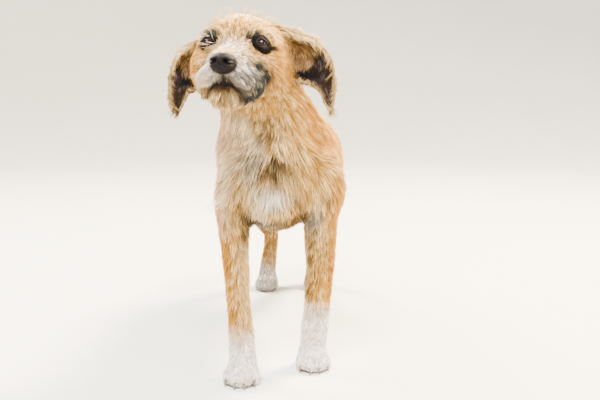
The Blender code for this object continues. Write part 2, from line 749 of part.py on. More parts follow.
def largest_piece(dog):
    """Drops the crumbs that a cut through a shallow hollow can leave beside a part."""
    for obj in dog.objects:
        bm = bmesh.new()
        bm.from_mesh(obj.data)
        islands = []
        unseen = set(bm.verts)
        while unseen:
            todo, island = [unseen.pop()], set()
            while todo:
                vert = todo.pop()
                island.add(vert)
                near = {edge.other_vert(vert) for edge in vert.link_edges} & unseen
                unseen -= near
                todo += near
            islands.append(island)
        islands.sort(key=len)
        crumbs = [vert for island in islands[:-1] for vert in island]
        bmesh.ops.delete(bm, geom=crumbs, context="VERTS")
        bm.to_mesh(obj.data)
        bm.free()


def main():
    clear_scene()
    dog = collection("dog")
    collection("cutters")
    place = head_place()
    head = build_flesh(dog, place)
    build_head(dog, place, head)
    build_claws(dog)
    largest_piece(dog)
    stand_on_origin(dog)


main()
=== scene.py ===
"""The looks of a small wire-haired terrier cross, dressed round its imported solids.

One skin replaces the flesh and lies inside it by the depth of the coat. The coat is solid mesh: thin tapered
hairs with three sides, which lie along the body and gather into locks. Eyes, lid rims, nose, lips and claws
are pieces of their own. Lengths are metres, and some small ones are millimetres times MM.
"""

import math
from types import SimpleNamespace

import bmesh
import bpy
import numpy as np
from mathutils import Matrix, Vector
from mathutils.bvhtree import BVHTree
from mathutils.kdtree import KDTree


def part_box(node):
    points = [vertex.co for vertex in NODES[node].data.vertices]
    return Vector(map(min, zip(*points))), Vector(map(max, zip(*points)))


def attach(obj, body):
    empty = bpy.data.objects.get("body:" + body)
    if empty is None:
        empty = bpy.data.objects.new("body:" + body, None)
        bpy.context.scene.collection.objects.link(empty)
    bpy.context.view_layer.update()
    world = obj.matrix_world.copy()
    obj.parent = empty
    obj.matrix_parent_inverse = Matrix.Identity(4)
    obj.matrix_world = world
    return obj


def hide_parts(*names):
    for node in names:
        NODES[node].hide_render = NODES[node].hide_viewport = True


MM = 0.001
PER_MM2 = 1e6  # hairs to a mm², in hairs to a m²
SIDES = {"right": -1.0, "left": 1.0}
RNG = np.random.default_rng(41)
ABOVE_FLOOR = 0.5 * MM  # the lowest that skin and hair come
FLESH_VOXEL, NOSE_VOXEL = 2.3 * MM, 0.42 * MM

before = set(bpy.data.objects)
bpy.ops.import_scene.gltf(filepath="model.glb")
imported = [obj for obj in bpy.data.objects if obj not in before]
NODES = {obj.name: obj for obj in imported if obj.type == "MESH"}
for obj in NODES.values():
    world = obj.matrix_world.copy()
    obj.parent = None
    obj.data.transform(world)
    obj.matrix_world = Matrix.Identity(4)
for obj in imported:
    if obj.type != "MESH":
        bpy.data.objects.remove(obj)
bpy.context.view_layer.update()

# ---------------------------------------------------------------- where things are


def centre(node):
    low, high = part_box(node)
    return (low + high) / 2


EYES = {name: centre(f"eye_{name}") for name in SIDES}
EYE_RADIUS = (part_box("eye_left")[1].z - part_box("eye_left")[0].z) / 2
# The middle of the left eye and of the nose, in the head's own axes.
EYE = np.array((0.0325, -0.0455, 0.0145))
NOSE = np.array((0.0, -0.113, -0.019))
EYE_REACH = 0.024  # how far from an eye's middle its lids can be
FAR = 9.0  # stands for the distance from the lids beyond that
# The head's own axes: the same turn, lift and tilt as its solids, set by the place of the eyes.
TURN = (
    Matrix.Rotation(math.radians(-6.5), 3, "Z")
    @ Matrix.Rotation(math.radians(-8.5), 3, "X")
    @ Matrix.Rotation(math.radians(2.0), 3, "Y")
)
HEAD = (EYES["left"] + EYES["right"]) / 2 - TURN @ Vector(EYE * (0, 1, 1))
TURN_ARRAY, HEAD_ARRAY = np.array(TURN), np.array(HEAD)
NOSE_CENTRE = centre("nose")
TAIL_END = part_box("tail_tip")[1].y
MIDDLE_X = (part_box("chest")[0].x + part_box("chest")[1].x) / 2 - 0.004


def to_head(points):
    """Places in the head's own axes."""
    return (points - HEAD_ARRAY) @ TURN_ARRAY


def from_head(points):
    return points @ TURN_ARRAY.T + HEAD_ARRAY


def head_direction(vectors):
    return vectors @ TURN_ARRAY.T


def unit(vectors):
    size = np.linalg.norm(vectors, axis=-1, keepdims=True)
    return vectors / np.maximum(size, 1e-9)


def laid(vectors, normals):
    """Vectors without the part that points along their normals."""
    return vectors - normals * np.sum(vectors * normals, axis=1, keepdims=True)


def step(x, low, high):
    """0 below one limit, 1 beyond the other and smooth between them, whichever of them is higher."""
    t = np.clip((x - low) / (high - low), 0, 1)
    return t * t * (3 - 2 * t)


def bell(value, width):
    """1 where the value is 0, falling smoothly to 0 on both sides."""
    return np.exp(-((value / width) ** 2))


def blob(points, middle, radii):
    """1 in the middle of an ellipsoid, falling smoothly to 0 outside it."""
    away = (points - np.array(middle)) / np.array(radii)
    return np.exp(-np.sum(away * away, axis=1))


def lattice_noise(points, scale, seed):
    """Smooth value noise between -1 and 1."""
    table = np.random.default_rng(seed).uniform(-1, 1, 4096)
    at = points / scale
    cell = np.floor(at).astype(np.int64)
    part = at - cell
    part = part * part * (3 - 2 * part)
    total = np.zeros(len(points))
    for corner in np.ndindex(2, 2, 2):
        c = cell + np.array(corner)
        key = (c[:, 0] * 73856093) ^ (c[:, 1] * 19349663) ^ (c[:, 2] * 83492791)
        weight = np.prod(np.where(np.array(corner) == 1, part, 1 - part), axis=1)
        total += weight * table[key % 4096]
    return total


# ---------------------------------------------------------------- meshes


def object_from(name, data, material=None):
    """An object in the scene: a mesh with its material, a light or the camera."""
    if material:
        data.materials.append(material)
    obj = bpy.data.objects.new(name, data)
    bpy.context.scene.collection.objects.link(obj)
    return obj


def mesh_from_bmesh(bm, name):
    mesh = bpy.data.meshes.new(name)
    bm.to_mesh(mesh)
    bm.free()
    return mesh


def joined_solid(node):
    """A node's mesh as a bmesh, its faces joined at their corners."""
    bm = bmesh.new()
    bm.from_mesh(NODES[node].data)
    bmesh.ops.remove_doubles(bm, verts=bm.verts, dist=1e-5)
    return bm


def with_modifier(mesh, kind, **properties):
    """The mesh as a modifier leaves it."""
    obj = object_from("work", mesh)
    modifier = obj.modifiers.new(kind.lower(), kind)
    for key, value in properties.items():
        setattr(modifier, key, value)
    bpy.context.view_layer.update()
    graph = bpy.context.evaluated_depsgraph_get()
    made = bpy.data.meshes.new_from_object(obj.evaluated_get(graph))
    bpy.data.objects.remove(obj)
    return made


def read(elements, field, width, kind=np.float32):
    """A field of a mesh's elements, one row each."""
    values = np.empty(len(elements) * width, kind)
    elements.foreach_get(field, values)
    return values.reshape(-1, width)


def positions(mesh):
    return read(mesh.vertices, "co", 3).astype(float)


def set_positions(mesh, co):
    mesh.vertices.foreach_set("co", np.asarray(co, np.float32).ravel())
    mesh.update()


def vertex_normals(mesh):
    return read(mesh.vertex_normals, "vector", 3).astype(float)


def edge_ends(mesh):
    return read(mesh.edges, "vertices", 2, np.int32)


def neighbour_mean(values, ends):
    """The mean of each vertex's neighbours, for one or more columns of values."""
    count = len(values)
    flat = values.reshape(count, -1)
    degree = np.bincount(ends.ravel(), minlength=count).astype(float)
    made = np.empty_like(flat)
    for k in range(flat.shape[1]):
        column = flat[:, k]
        total = np.bincount(ends[:, 0], weights=column[ends[:, 1]], minlength=count)
        total += np.bincount(ends[:, 1], weights=column[ends[:, 0]], minlength=count)
        made[:, k] = total / np.maximum(degree, 1)
    return made.reshape(values.shape)


def add_values(mesh, name, values):
    """Keeps a number or a vector for each vertex, for the materials to read."""
    kind, field = ("FLOAT", "value") if values.ndim == 1 else ("FLOAT_VECTOR", "vector")
    layer = mesh.attributes.new(name, kind, "POINT")
    layer.data.foreach_set(field, values.astype(np.float32).ravel())


def smooth_faces(mesh):
    mesh.polygons.foreach_set("use_smooth", np.ones(len(mesh.polygons), bool))


def keep_largest(mesh):
    """Drops the small inner shells that a remesh can leave."""
    bm = bmesh.new()
    bm.from_mesh(mesh)
    unseen, islands = set(bm.verts), []
    while unseen:
        todo, island = [unseen.pop()], []
        while todo:
            vert = todo.pop()
            island.append(vert)
            for edge in vert.link_edges:
                other = edge.other_vert(vert)
                if other in unseen:
                    unseen.discard(other)
                    todo.append(other)
        islands.append(island)
    islands.sort(key=len)
    for island in islands[:-1]:
        bmesh.ops.delete(bm, geom=island, context="VERTS")
    bm.to_mesh(mesh)
    bm.free()


def round_turns(count):
    return [2 * math.pi * k / count for k in range(count)]


def joined(bm, rings):
    """Faces between each ring of vertices and the next."""
    for first, second in zip(rings, rings[1:]):
        for k in range(len(first)):
            after = (k + 1) % len(first)
            bm.faces.new((first[k], first[after], second[after], second[k]))


def finished(bm, name):
    """The mesh of a bmesh, smooth and with its faces turned outwards."""
    bmesh.ops.recalc_face_normals(bm, faces=bm.faces)
    for face in bm.faces:
        face.smooth = True
    return mesh_from_bmesh(bm, name)


def tube_ring(bm, point, along, across, radius):
    """Eight vertices round a point of a tube."""
    other = along.cross(across)
    reaches = [across * math.cos(a) + other * math.sin(a) for a in round_turns(8)]
    return [bm.verts.new(Vector(point) + reach * radius) for reach in reaches]


def tube(points, radii):
    """A closed tube along points, with its ends drawn in to a point by their radii."""
    bm, rings, across = bmesh.new(), [], None
    for i, point in enumerate(points):
        ahead, behind = points[min(i + 1, len(points) - 1)], points[max(i - 1, 0)]
        along = (Vector(ahead) - Vector(behind)).normalized()
        across = across - along * across.dot(along) if rings else along.orthogonal()
        across = across.normalized()
        rings.append(tube_ring(bm, point, along, across, radii[i]))
    joined(bm, rings)
    bm.faces.new(rings[0])
    bm.faces.new(rings[-1])
    return finished(bm, "tube")


def ring_tube(points, radius):
    """A closed loop of tube."""
    bm, rings = bmesh.new(), []
    middle = sum((Vector(p) for p in points), Vector()) / len(points)
    for i, point in enumerate(points):
        along = (Vector(points[(i + 1) % len(points)]) - Vector(points[i - 1])).normalized()
        across = Vector(point) - middle
        across = (across - along * across.dot(along)).normalized()
        rings.append(tube_ring(bm, point, along, across, radius))
    joined(bm, rings + rings[:1])
    return finished(bm, "ring")


# ---------------------------------------------------------------- the coat's plan

# For each kind of part: depth of the coat, length and width of a hair in mm, lift in degrees, hairs to a
# mm², gathering, wave in mm, hairs to a lock, and rings to a hair. These columns are named below.
COAT = {
    "head": (3.6, 11.5, 0.53, 22, 0.74, 0.50, 0.6, 9, 2),
    "lower_jaw": (3.4, 15.0, 0.60, 26, 0.75, 0.60, 1.0, 8, 3),
    "ear": (2.2, 12.0, 0.56, 16, 0.62, 0.50, 0.7, 8, 2),
    "neck": (6.8, 22.0, 0.64, 18, 0.42, 0.52, 1.1, 7, 2),
    "chest": (8.0, 24.0, 0.69, 16, 0.29, 0.52, 1.2, 7, 2),
    "hindquarters": (9.0, 24.0, 0.80, 15, 0.195, 0.48, 1.1, 6, 2),
    "shoulder": (6.6, 17.0, 0.64, 18, 0.38, 0.46, 1.1, 7, 2),
    "forearm": (4.6, 15.0, 0.66, 18, 0.37, 0.48, 0.9, 7, 2),
    "forepaw": (2.6, 9.0, 0.65, 18, 0.46, 0.40, 0.4, 7, 2),
    "thigh": (7.5, 21.0, 0.78, 15, 0.22, 0.48, 1.1, 6, 2),
    "shank": (4.6, 15.0, 0.80, 18, 0.25, 0.48, 0.9, 7, 2),
    "hindpaw": (2.8, 10.0, 0.72, 18, 0.34, 0.40, 0.4, 7, 2),
    "tail": (6.5, 28.0, 1.00, 16, 0.24, 0.50, 1.6, 6, 3),
}
KINDS = list(COAT)
# The columns of that table and of every plan.
DEPTH, LENGTH, WIDTH, LIFT, DENSITY, GATHER, WAVE, LOCK, RINGS = range(9)

# How the hair is combed on the head, by places on its left half: place, direction with x away from the middle
# and reach, in the head's own axes; then the coat's depth and the hair's length there, in mm.
COMB = [
    ((0.000, -0.104, -0.004), (0.10, 0.90, 0.45), 0.012, 1.6, 4.5),
    ((0.006, -0.085, -0.001), (0.25, 0.80, 0.55), 0.016, 2.4, 6.5),
    ((0.008, -0.062, 0.008), (0.40, 0.50, 0.80), 0.016, 2.8, 8.0),
    ((0.018, -0.060, 0.004), (0.80, 0.50, 0.25), 0.014, 2.0, 6.0),
    ((0.000, -0.044, 0.034), (0.05, 0.30, 1.00), 0.018, 3.6, 12.0),
    ((0.022, -0.048, 0.032), (0.55, -0.35, 0.60), 0.013, 3.8, 13.0),
    ((0.040, -0.042, 0.032), (0.85, -0.10, 0.30), 0.013, 3.4, 12.0),
    ((0.000, -0.015, 0.060), (0.08, 0.90, 0.45), 0.030, 4.6, 14.0),
    ((0.034, -0.012, 0.054), (0.75, 0.45, 0.35), 0.028, 4.4, 14.0),
    ((0.056, 0.000, 0.034), (0.70, 0.50, -0.35), 0.026, 4.0, 13.0),
    ((0.048, -0.042, 0.010), (0.60, 0.75, -0.15), 0.016, 2.0, 7.0),
    ((0.034, -0.054, -0.006), (0.55, 0.45, -0.70), 0.015, 2.2, 7.0),
    ((0.056, -0.020, -0.014), (0.25, 0.75, -0.60), 0.026, 4.0, 12.0),
    ((0.050, 0.012, -0.036), (0.10, 0.70, -0.75), 0.030, 4.4, 14.0),
    ((0.014, -0.108, -0.026), (0.85, 0.05, -0.60), 0.012, 2.2, 8.0),
    ((0.024, -0.092, -0.030), (0.75, 0.30, -0.70), 0.015, 3.0, 14.0),
    ((0.034, -0.070, -0.032), (0.55, 0.50, -0.80), 0.018, 2.8, 14.0),
    ((0.003, -0.112, -0.034), (0.45, -0.05, -0.95), 0.008, 1.8, 5.0),
    ((0.000, -0.102, -0.056), (0.10, -0.15, -1.00), 0.018, 3.6, 15.0),
    ((0.016, -0.085, -0.056), (0.35, 0.20, -0.95), 0.018, 3.8, 15.0),
    ((0.000, -0.055, -0.064), (0.00, 0.65, -0.70), 0.028, 3.6, 13.0),
    ((0.000, 0.000, -0.050), (0.00, 0.70, -0.70), 0.040, 5.0, 16.0),
    ((0.000, 0.055, 0.020), (0.00, 0.45, -0.90), 0.040, 5.5, 18.0),
]


def combed(local):
    """(direction, depth, length) of the hair at places on the head."""
    direction = np.zeros_like(local)
    depth, length, total = np.zeros(len(local)), np.zeros(len(local)), np.zeros(len(local))
    for place, way, reach, deep, long in COMB:
        for side in (1, -1) if place[0] > 0 else (1,):
            here = np.array(place) * (side, 1, 1)
            weight = blob(local, here, (reach,) * 3) + 1e-7
            outward = np.sign(local[:, :1]) if place[0] == 0 else side
            sides = np.hstack([outward * np.ones((len(local), 1)), np.ones((len(local), 2))])
            direction += weight[:, None] * np.array(way) * sides
            depth += weight * deep
            length += weight * long
            total += weight
    return unit(direction), depth / total, length / total


def columns(kinds):
    """The shares of the kinds of part, by name."""
    return SimpleNamespace(**{name: kinds[:, i] for i, name in enumerate(KINDS)})


def eye_axes(side):
    """An eye's middle, where it looks, outwards across it and up it, in the head's own axes."""
    look = unit(np.array((0.34 * side, -0.92, 0.02)))
    over = unit(np.cross(np.array((0, 0, 1.0)), look)) * side
    up = np.cross(look, over) * side
    return EYE * (side, 1, 1), look, over, up if up[2] > 0 else -up


def eye_angles(local, side):
    """Angles across and up from where an eye looks, and the distance from its middle."""
    middle, look, over, up = eye_axes(side)
    away = local - middle
    across = np.arctan2(away @ over, away @ look)
    rise = np.arctan2(away @ up, away @ look)
    return across, rise * SQUINT[side], np.linalg.norm(away, axis=1)


# The opening between the lids, in radians from where the eye looks, and the dark rim round it.
LID_WIDE, LID_HIGH, LID_LOW, LID_TILT = 0.76, 0.55, 0.50, 0.34
RIM_RADIUS = 0.80 * MM
# How many times narrower an eye is than the widest: the right one, side -1, is half shut.
SQUINT = {1: 1.0, -1: 1.8}


def lid_half(across, above):
    """Half the height of the opening, in radians: the upper lid is highest near the inner corner."""
    share = np.clip(across / LID_WIDE, -1, 1)
    return np.where(above, LID_HIGH * (1 - 0.32 * share), LID_LOW * (1 + 0.06 * share))


def lid_distance(across, rise):
    """Below 1 inside the almond opening between the lids. Across is positive towards the outer corner."""
    tilt = rise + LID_TILT * across
    return np.sqrt((np.abs(across) / LID_WIDE) ** 2.0 + (np.abs(tilt) / lid_half(across, tilt > 0)) ** 2.0)


def from_lids(local, side):
    """The same for places on the head, and FAR beyond the lids' reach."""
    across, rise, away = eye_angles(local, side)
    return np.where(away < EYE_REACH, lid_distance(across, rise), FAR)


# Where the lips meet, on the right half, from under the nose to the corner, in the head's own axes.
LIPS = np.array(
    [(0.0, -0.0400), (0.007, -0.0408), (0.013, -0.0432), (0.019, -0.0470), (0.025, -0.0508), (0.030, -0.0550)]
)


def mouth_height(x):
    """The height of the line between the lips, by the distance from the middle."""
    return np.interp(np.abs(x), LIPS[:, 0], LIPS[:, 1])


# ---------------------------------------------------------------- the skin


def flesh_names():
    """The nodes that the skin stands for."""
    return [n for n in NODES if not n.startswith(("eye", "nose", "claw"))]


def kind_of(node):
    """The kind of coat, a name in COAT, that lies on a node."""
    if node.startswith(("nose", "eye")):
        return "head"
    if node.startswith("tail"):
        return "tail"
    return node.rsplit("_", 1)[0] if node.endswith(("_left", "_right")) else node


GROWN = 0.7  # mm that the solids are grown by before they are merged


def add_grown(node, amount, bm):
    """Adds a node's solid to a bmesh, each vertex moved outwards, so that neighbours overlap."""
    part = joined_solid(node)
    part.normal_update()
    for vert in part.verts:
        vert.co += vert.normal * amount
    mesh = mesh_from_bmesh(part, "part")
    bm.from_mesh(mesh)
    bpy.data.meshes.remove(mesh)


def merged_flesh():
    """One smooth body over all the flesh, eyes and nose, its cuts closed."""
    bm = bmesh.new()
    for node in flesh_names() + ["eye_left", "eye_right", "nose"]:
        add_grown(node, GROWN * MM, bm)
    mesh = mesh_from_bmesh(bm, "flesh")
    mesh.materials.clear()
    body = with_modifier(mesh, "REMESH", mode="VOXEL", voxel_size=FLESH_VOXEL)
    keep_largest(body)
    return body


def smoothed(co, ends, rounds):
    """Smooths without shrinking, by turns of pulling in and pushing out."""
    for _ in range(rounds):
        for share in (0.55, -0.57):
            co = co + share * (neighbour_mean(co, ends) - co)
    return co


def spread(values, ends, rounds, share=0.5):
    """Mixes each vertex's value with its neighbours' mean, round by round."""
    for _ in range(rounds):
        values = (1 - share) * values + share * neighbour_mean(values, ends)
    return values


def nearest_kinds(co):
    """How much each vertex belongs to each kind of part: one column for each."""
    verts, faces, labels, base = [], [], [], 0
    for node in flesh_names() + ["nose", "eye_left", "eye_right"]:
        mesh = NODES[node].data
        verts += [v.co.copy() for v in mesh.vertices]
        for poly in mesh.polygons:
            faces.append([base + k for k in poly.vertices])
            labels.append(KINDS.index(kind_of(node)))
        base += len(mesh.vertices)
    tree = BVHTree.FromPolygons(verts, faces)
    found = np.array([labels[tree.find_nearest(Vector(p))[2]] for p in co])
    return np.eye(len(KINDS))[found]


def refine(mesh, chosen):
    """Divides the faces round the chosen vertices."""
    bm = bmesh.new()
    bm.from_mesh(mesh)
    bm.verts.ensure_lookup_table()
    edges = [e for e in bm.edges if chosen[e.verts[0].index] and chosen[e.verts[1].index]]
    bmesh.ops.subdivide_edges(bm, edges=edges, cuts=1, use_grid_fill=True, smooth=0.0)
    bmesh.ops.triangulate(bm, faces=[f for f in bm.faces if len(f.verts) > 4])
    bm.to_mesh(mesh)
    bm.free()


def ear_map(co, on_ear):
    """For each vertex near an ear: metres from its outer or top edge, and shares of the way down and out."""
    edge, down, over = np.ones(len(co)), np.zeros(len(co)), np.zeros(len(co))
    for name, side in SIDES.items():
        low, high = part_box(f"ear_{name}")
        x, z = side * (co[:, 0] - HEAD_ARRAY[0]), co[:, 2]
        mine = (on_ear > 0.35) & (x > 0)
        if not mine.any():
            continue
        levels = np.linspace(low.z, high.z, 19)
        outer, inner = strip_limits(z[mine], x[mine], levels)
        columns = np.linspace(x[mine].min(), x[mine].max(), 13)
        top = strip_limits(x[mine], z[mine], columns)[0]
        mids, column_mids = (levels[1:] + levels[:-1]) / 2, (columns[1:] + columns[:-1]) / 2
        rim, inside = np.interp(z, mids, outer), np.interp(z, mids, inner)
        beside, above = rim - x, np.interp(x, column_mids, top) - z
        here = x > 0
        edge = np.where(here, np.minimum(beside, above), edge)
        down = np.where(here, (high.z - z) / (high.z - low.z), down)
        over = np.where(here, (x - inside) / np.maximum(rim - inside, 4 * MM), over)
    return edge, np.clip(down, 0, 1), np.clip(over, 0, 1)


def strip_limits(place, value, limits):
    """The highest and lowest value in each strip of places. Empty strips take their neighbours'."""
    strip = np.clip(np.digitize(place, limits) - 1, 0, len(limits) - 2)
    count = len(limits) - 1
    high, low = np.full(count, -np.inf), np.full(count, np.inf)
    np.maximum.at(high, strip, value)
    np.minimum.at(low, strip, value)
    full = np.isfinite(high)
    every = np.arange(count)
    return np.interp(every, every[full], high[full]), np.interp(every, every[full], low[full])


def hair_plan(co, normals, kinds):
    """The coat's depth, length and direction for each vertex, before smoothing, and the ears' fringe."""
    plan = kinds @ np.array(list(COAT.values()))
    local = to_head(co)
    k = columns(kinds)
    x_side = np.sign(co[:, 0] - MIDDLE_X)
    front, back, top = (np.clip(n, 0, 1) for n in (-normals[:, 1], normals[:, 1], normals[:, 2]))
    toes = step(co[:, 2], 0.045, 0.020)

    def towards(x, y, z):
        return np.stack([part + np.zeros(len(co)) for part in (x, y, z)], 1)

    down_chest = -(0.45 + 0.75 * front) * (1 - 0.85 * top)
    ways = {
        "chest": towards(0.22 * x_side * front, 0.95 * (1 - front), down_chest),
        "hindquarters": towards(0, 1, -0.55 * (1 - 0.9 * top)),
        "neck": towards(0.14 * x_side, 0.50 * (1 - front), -1),
        "shoulder": towards(0, 0.18, -1),
        "forearm": towards(0, 0.14 + 0.35 * back, -1),
        "forepaw": towards(0, -0.15 - 0.85 * toes, -1 + 0.45 * toes),
        "thigh": towards(0, 0.50, -0.85),
        "shank": towards(0, 0.62, -0.78),
        "tail": towards(0, 1, -0.30 + 0.6 * step(co[:, 1], 0.27, 0.33)),
    }
    ways["hindpaw"] = ways["forepaw"] + towards(0, 0.15 * (1 - toes), 0)
    head_way, head_depth, head_length = combed(local)
    ways["head"] = ways["lower_jaw"] = head_direction(head_way)
    edge, down, _ = ear_map(co, k.ear)
    broad = (8.5 - 7.6 * step(down, 0.15, 0.50)) * MM * (1 + 0.3 * lattice_noise(co, 0.006, 12))
    fringe = step(edge - broad, 1.5 * MM, -2.0 * MM)
    hang = step(down, 0.10, 0.42)
    aside = np.sign(local[:, 0]) * (1.0 - (0.94 - 0.40 * fringe) * hang)
    ways["ear"] = head_direction(towards(aside, -0.05, 0.25 - 1.25 * hang))
    way = sum(kinds[:, i : i + 1] * unit(ways[name]) for i, name in enumerate(KINDS))
    on_head = k.head + k.lower_jaw
    plan[:, DEPTH] = plan[:, DEPTH] * (1 - on_head) + head_depth * on_head
    plan[:, LENGTH] = plan[:, LENGTH] * (1 - on_head) + head_length * on_head
    thin_side = step(np.abs(to_head(HEAD_ARRAY + normals)[:, 1]), 0.75, 0.25)
    rim = k.ear * np.maximum(fringe, 0.8 * step(edge, 9 * MM, 4 * MM) * thin_side)
    tip = k.ear * step(down, 0.84, 0.97)
    plan[:, LIFT] += 25 * rim + 8 * rim * thin_side
    plan[:, LENGTH] += 3.0 * rim + 5.0 * tip
    plan[:, LENGTH] *= 1 - 0.62 * k.tail * step(co[:, 1], TAIL_END - 0.045, TAIL_END - 0.012)
    sole = step(co[:, 2], 0.010, 0.004) * np.clip(-normals[:, 2], 0, 1)
    plan[:, DEPTH] = plan[:, DEPTH] * (1 - sole) + 0.4 * sole
    return plan, way, rim


def build_skin():
    mesh = merged_flesh()
    ends = edge_ends(mesh)
    co = smoothed(positions(mesh), ends, 14)
    set_positions(mesh, co)
    # the coat's depth comes off in small moves, smoothed between them
    kinds = spread(nearest_kinds(co), ends, 6)
    plan, _, _ = hair_plan(co, vertex_normals(mesh), kinds)
    depth = spread(plan[:, DEPTH] + GROWN, ends, 8)
    moves = 6
    for _ in range(moves):
        co = smoothed(co - vertex_normals(mesh) * (depth * MM / moves)[:, None], ends, 1)
        set_positions(mesh, co)
    co = eased(co, ends, vertex_normals(mesh), kinds)
    set_positions(mesh, co)
    # finer faces round the eyes and the mouth
    for reach in (0.021, 0.017):
        local = to_head(positions(mesh))
        near = np.zeros(len(local), bool)
        for side in SIDES.values():
            near |= np.linalg.norm(local - EYE * (side, 1, 1), axis=1) < reach
        if reach > 0.02:
            beside, below = np.abs(local[:, 0]), np.abs(local[:, 2] + 0.042)
            near |= (beside < 0.032) & (local[:, 1] < -0.060) & (below < 0.014)
        refine(mesh, near)
    co = sculpt_mouth(sculpt_lids(positions(mesh)))
    co[:, 2] = np.maximum(co[:, 2], ABOVE_FLOOR)
    set_positions(mesh, co)
    smooth_faces(mesh)
    return mesh


def eased(co, ends, normals, kinds):
    """Rounds off the ledges where the legs meet the body, and sharp folds in the trunk."""
    limbs = ("shoulder", "forearm", "thigh", "shank")
    trunks = ("chest", "shoulder", "hindquarters", "thigh")
    limb, trunk = (kinds[:, [KINDS.index(name) for name in names]].sum(axis=1) for names in (limbs, trunks))
    around = normals
    for _ in range(2):
        around = neighbour_mean(around, ends)
    folded = step(1 - np.linalg.norm(around, axis=1), 0.10, 0.20)
    ledge = np.maximum(np.clip(2 * limb, 0, 1) * step(-normals[:, 2], 0.20, 0.50), trunk * folded)
    for _ in range(8):
        ledge = np.maximum(ledge, 0.92 * neighbour_mean(ledge, ends))
    ledge = np.clip(1.6 * ledge, 0, 1)[:, None]
    for _ in range(30):
        co = co + 0.5 * ledge * (neighbour_mean(co, ends) - co)
    return co


def sculpt_lids(co):
    """Puts the skin behind each eyeball inside the opening, and over it as lids round the opening."""
    local = to_head(co)
    for side in SIDES.values():
        across, rise, away = eye_angles(local, side)
        middle, look, _, _ = eye_axes(side)
        ahead = unit(local - middle) @ look
        inside = lid_distance(across, rise)
        lid = step(inside, 0.92, 1.08)
        swell = 0.7 * MM * bell(inside - 1.30, 0.35)
        target = (EYE_RADIUS - 1.6 * MM) * (1 - lid) + (EYE_RADIUS + 0.5 * MM + swell) * lid
        fade = np.exp(-np.clip(inside - 1.2, 0, None) ** 2 / 0.45) * step(ahead, -0.1, 0.25)
        fade = np.where(away < EYE_REACH, fade, 0)
        wanted = middle + unit(local - middle) * target[:, None]
        # lids only push the skin out, the opening only pulls it in
        push = np.where((lid > 0.5) & (away > target), 0.25, 1.0) * fade
        # and nothing of the eyeball shows outside them
        bared = (lid > 0.5) & (away < target) & (away > 0.4 * EYE_RADIUS)
        push = np.where(bared, np.maximum(push, step(ahead, -0.35, -0.05)), push)
        local = local + (wanted - local) * push[:, None]
    return from_head(local)


def sculpt_mouth(co):
    """A groove where the lips meet, a shallow one from the nose down to it, and a hollow behind the nose."""
    local = to_head(co)
    x, y, z = local.T
    front = step(y, -0.062, -0.078) * step(np.abs(x), 0.036, 0.028)
    gap = np.abs(z - mouth_height(x))
    groove = front * bell(gap, 1.7 * MM) * (y < -0.06)
    philtrum = step(y, -0.100, -0.108) * bell(x, 1.2 * MM)
    philtrum = philtrum * step(z, -0.024, -0.028) * step(z, -0.042, -0.039)
    behind = step(off_nose(local), 1.12, 0.85)
    y += 4.2 * MM * groove + 1.4 * MM * philtrum + 5.0 * MM * behind
    x -= np.sign(x) * 1.8 * MM * groove * step(np.abs(x), 0.010, 0.022)
    return from_head(local)


def off_nose(local):
    """Below 1 inside the leather of the nose."""
    return np.linalg.norm((local - NOSE) / (0.0152, 0.0140, 0.0112), axis=1)


def unwrap(obj):
    """Lays the skin out on the map that the coat shares."""
    bpy.context.view_layer.objects.active = obj
    obj.select_set(True)
    obj.data.uv_layers.new(name="OFBake")
    bpy.ops.object.mode_set(mode="EDIT")
    bpy.ops.mesh.select_all(action="SELECT")
    bpy.ops.uv.smart_project(angle_limit=math.radians(66), island_margin=0.002)
    bpy.ops.object.mode_set(mode="OBJECT")
    obj.select_set(False)


# ---------------------------------------------------------------- markings


class Marks:
    """Patches of colour by name, each from 0 to 1, with the places and kinds of part that they go by."""

    def __init__(self, co, normals, kinds, rim):
        self.co, self.normals, self.rim = co, normals, rim
        self.local = to_head(co)
        self.both = np.abs(self.local) * (1, 0, 0) + self.local * (0, 1, 1)
        self.left_half = co[:, 0] > MIDDLE_X
        self.outward = normals[:, 0] * np.sign(co[:, 0] - MIDDLE_X)
        self.kinds = columns(kinds)
        self.head = self.kinds.head + self.kinds.lower_jaw
        self.wobble = lattice_noise(co, 0.012, 3)
        self.values = {name: np.zeros(len(co)) for name in MARKS}

    def add(self, name, value):
        self.values[name] = np.maximum(self.values[name], value)


def mark_legs(m):
    """White feet, higher on the left foreleg, a pale inside to the right one, orange outsides, painted shade
    inside the left legs and on the hind legs.
    """
    k, nx, height = m.kinds, m.normals[:, 0], m.co[:, 2]
    paw_line = 0.052 + 0.010 * m.wobble + 0.022 * m.left_half - 0.012 * (m.co[:, 1] > 0)
    leg = k.forearm + k.forepaw + k.shank + k.hindpaw
    inner = np.zeros(len(m.co))
    for name in ("forearm", "shank"):
        for side_name, side in SIDES.items():
            middle = centre(f"{name}_{side_name}").x
            here = (np.abs(m.co[:, 0] - middle) < 0.030) & (getattr(k, name) > 0.2)
            inner = np.where(here, -nx * side, inner)
    foot = (k.forepaw + k.hindpaw + k.forearm) * step(height, paw_line + 0.026, paw_line - 0.014)
    m.add("white", foot)
    m.add("cream", 0.60 * k.forearm * ~m.left_half * (1 - foot) * step(inner, -0.3, 0.6))
    # painted shade on the inside of the left legs
    m.add("taupe", 0.75 * (k.forearm + k.shank) * m.left_half * (1 - foot) * step(inner, 0.1, 0.8))
    # painted shade on the hind legs, and as grey on the hind feet
    m.add("taupe", 0.85 * k.shank * (1 - foot))
    m.add("grey", 0.35 * k.hindpaw)
    m.add("rust", leg * step(m.outward, 0.1, 0.8) * step(height, paw_line, paw_line + 0.03))
    m.add("rust", 0.45 * (k.shank + k.thigh))


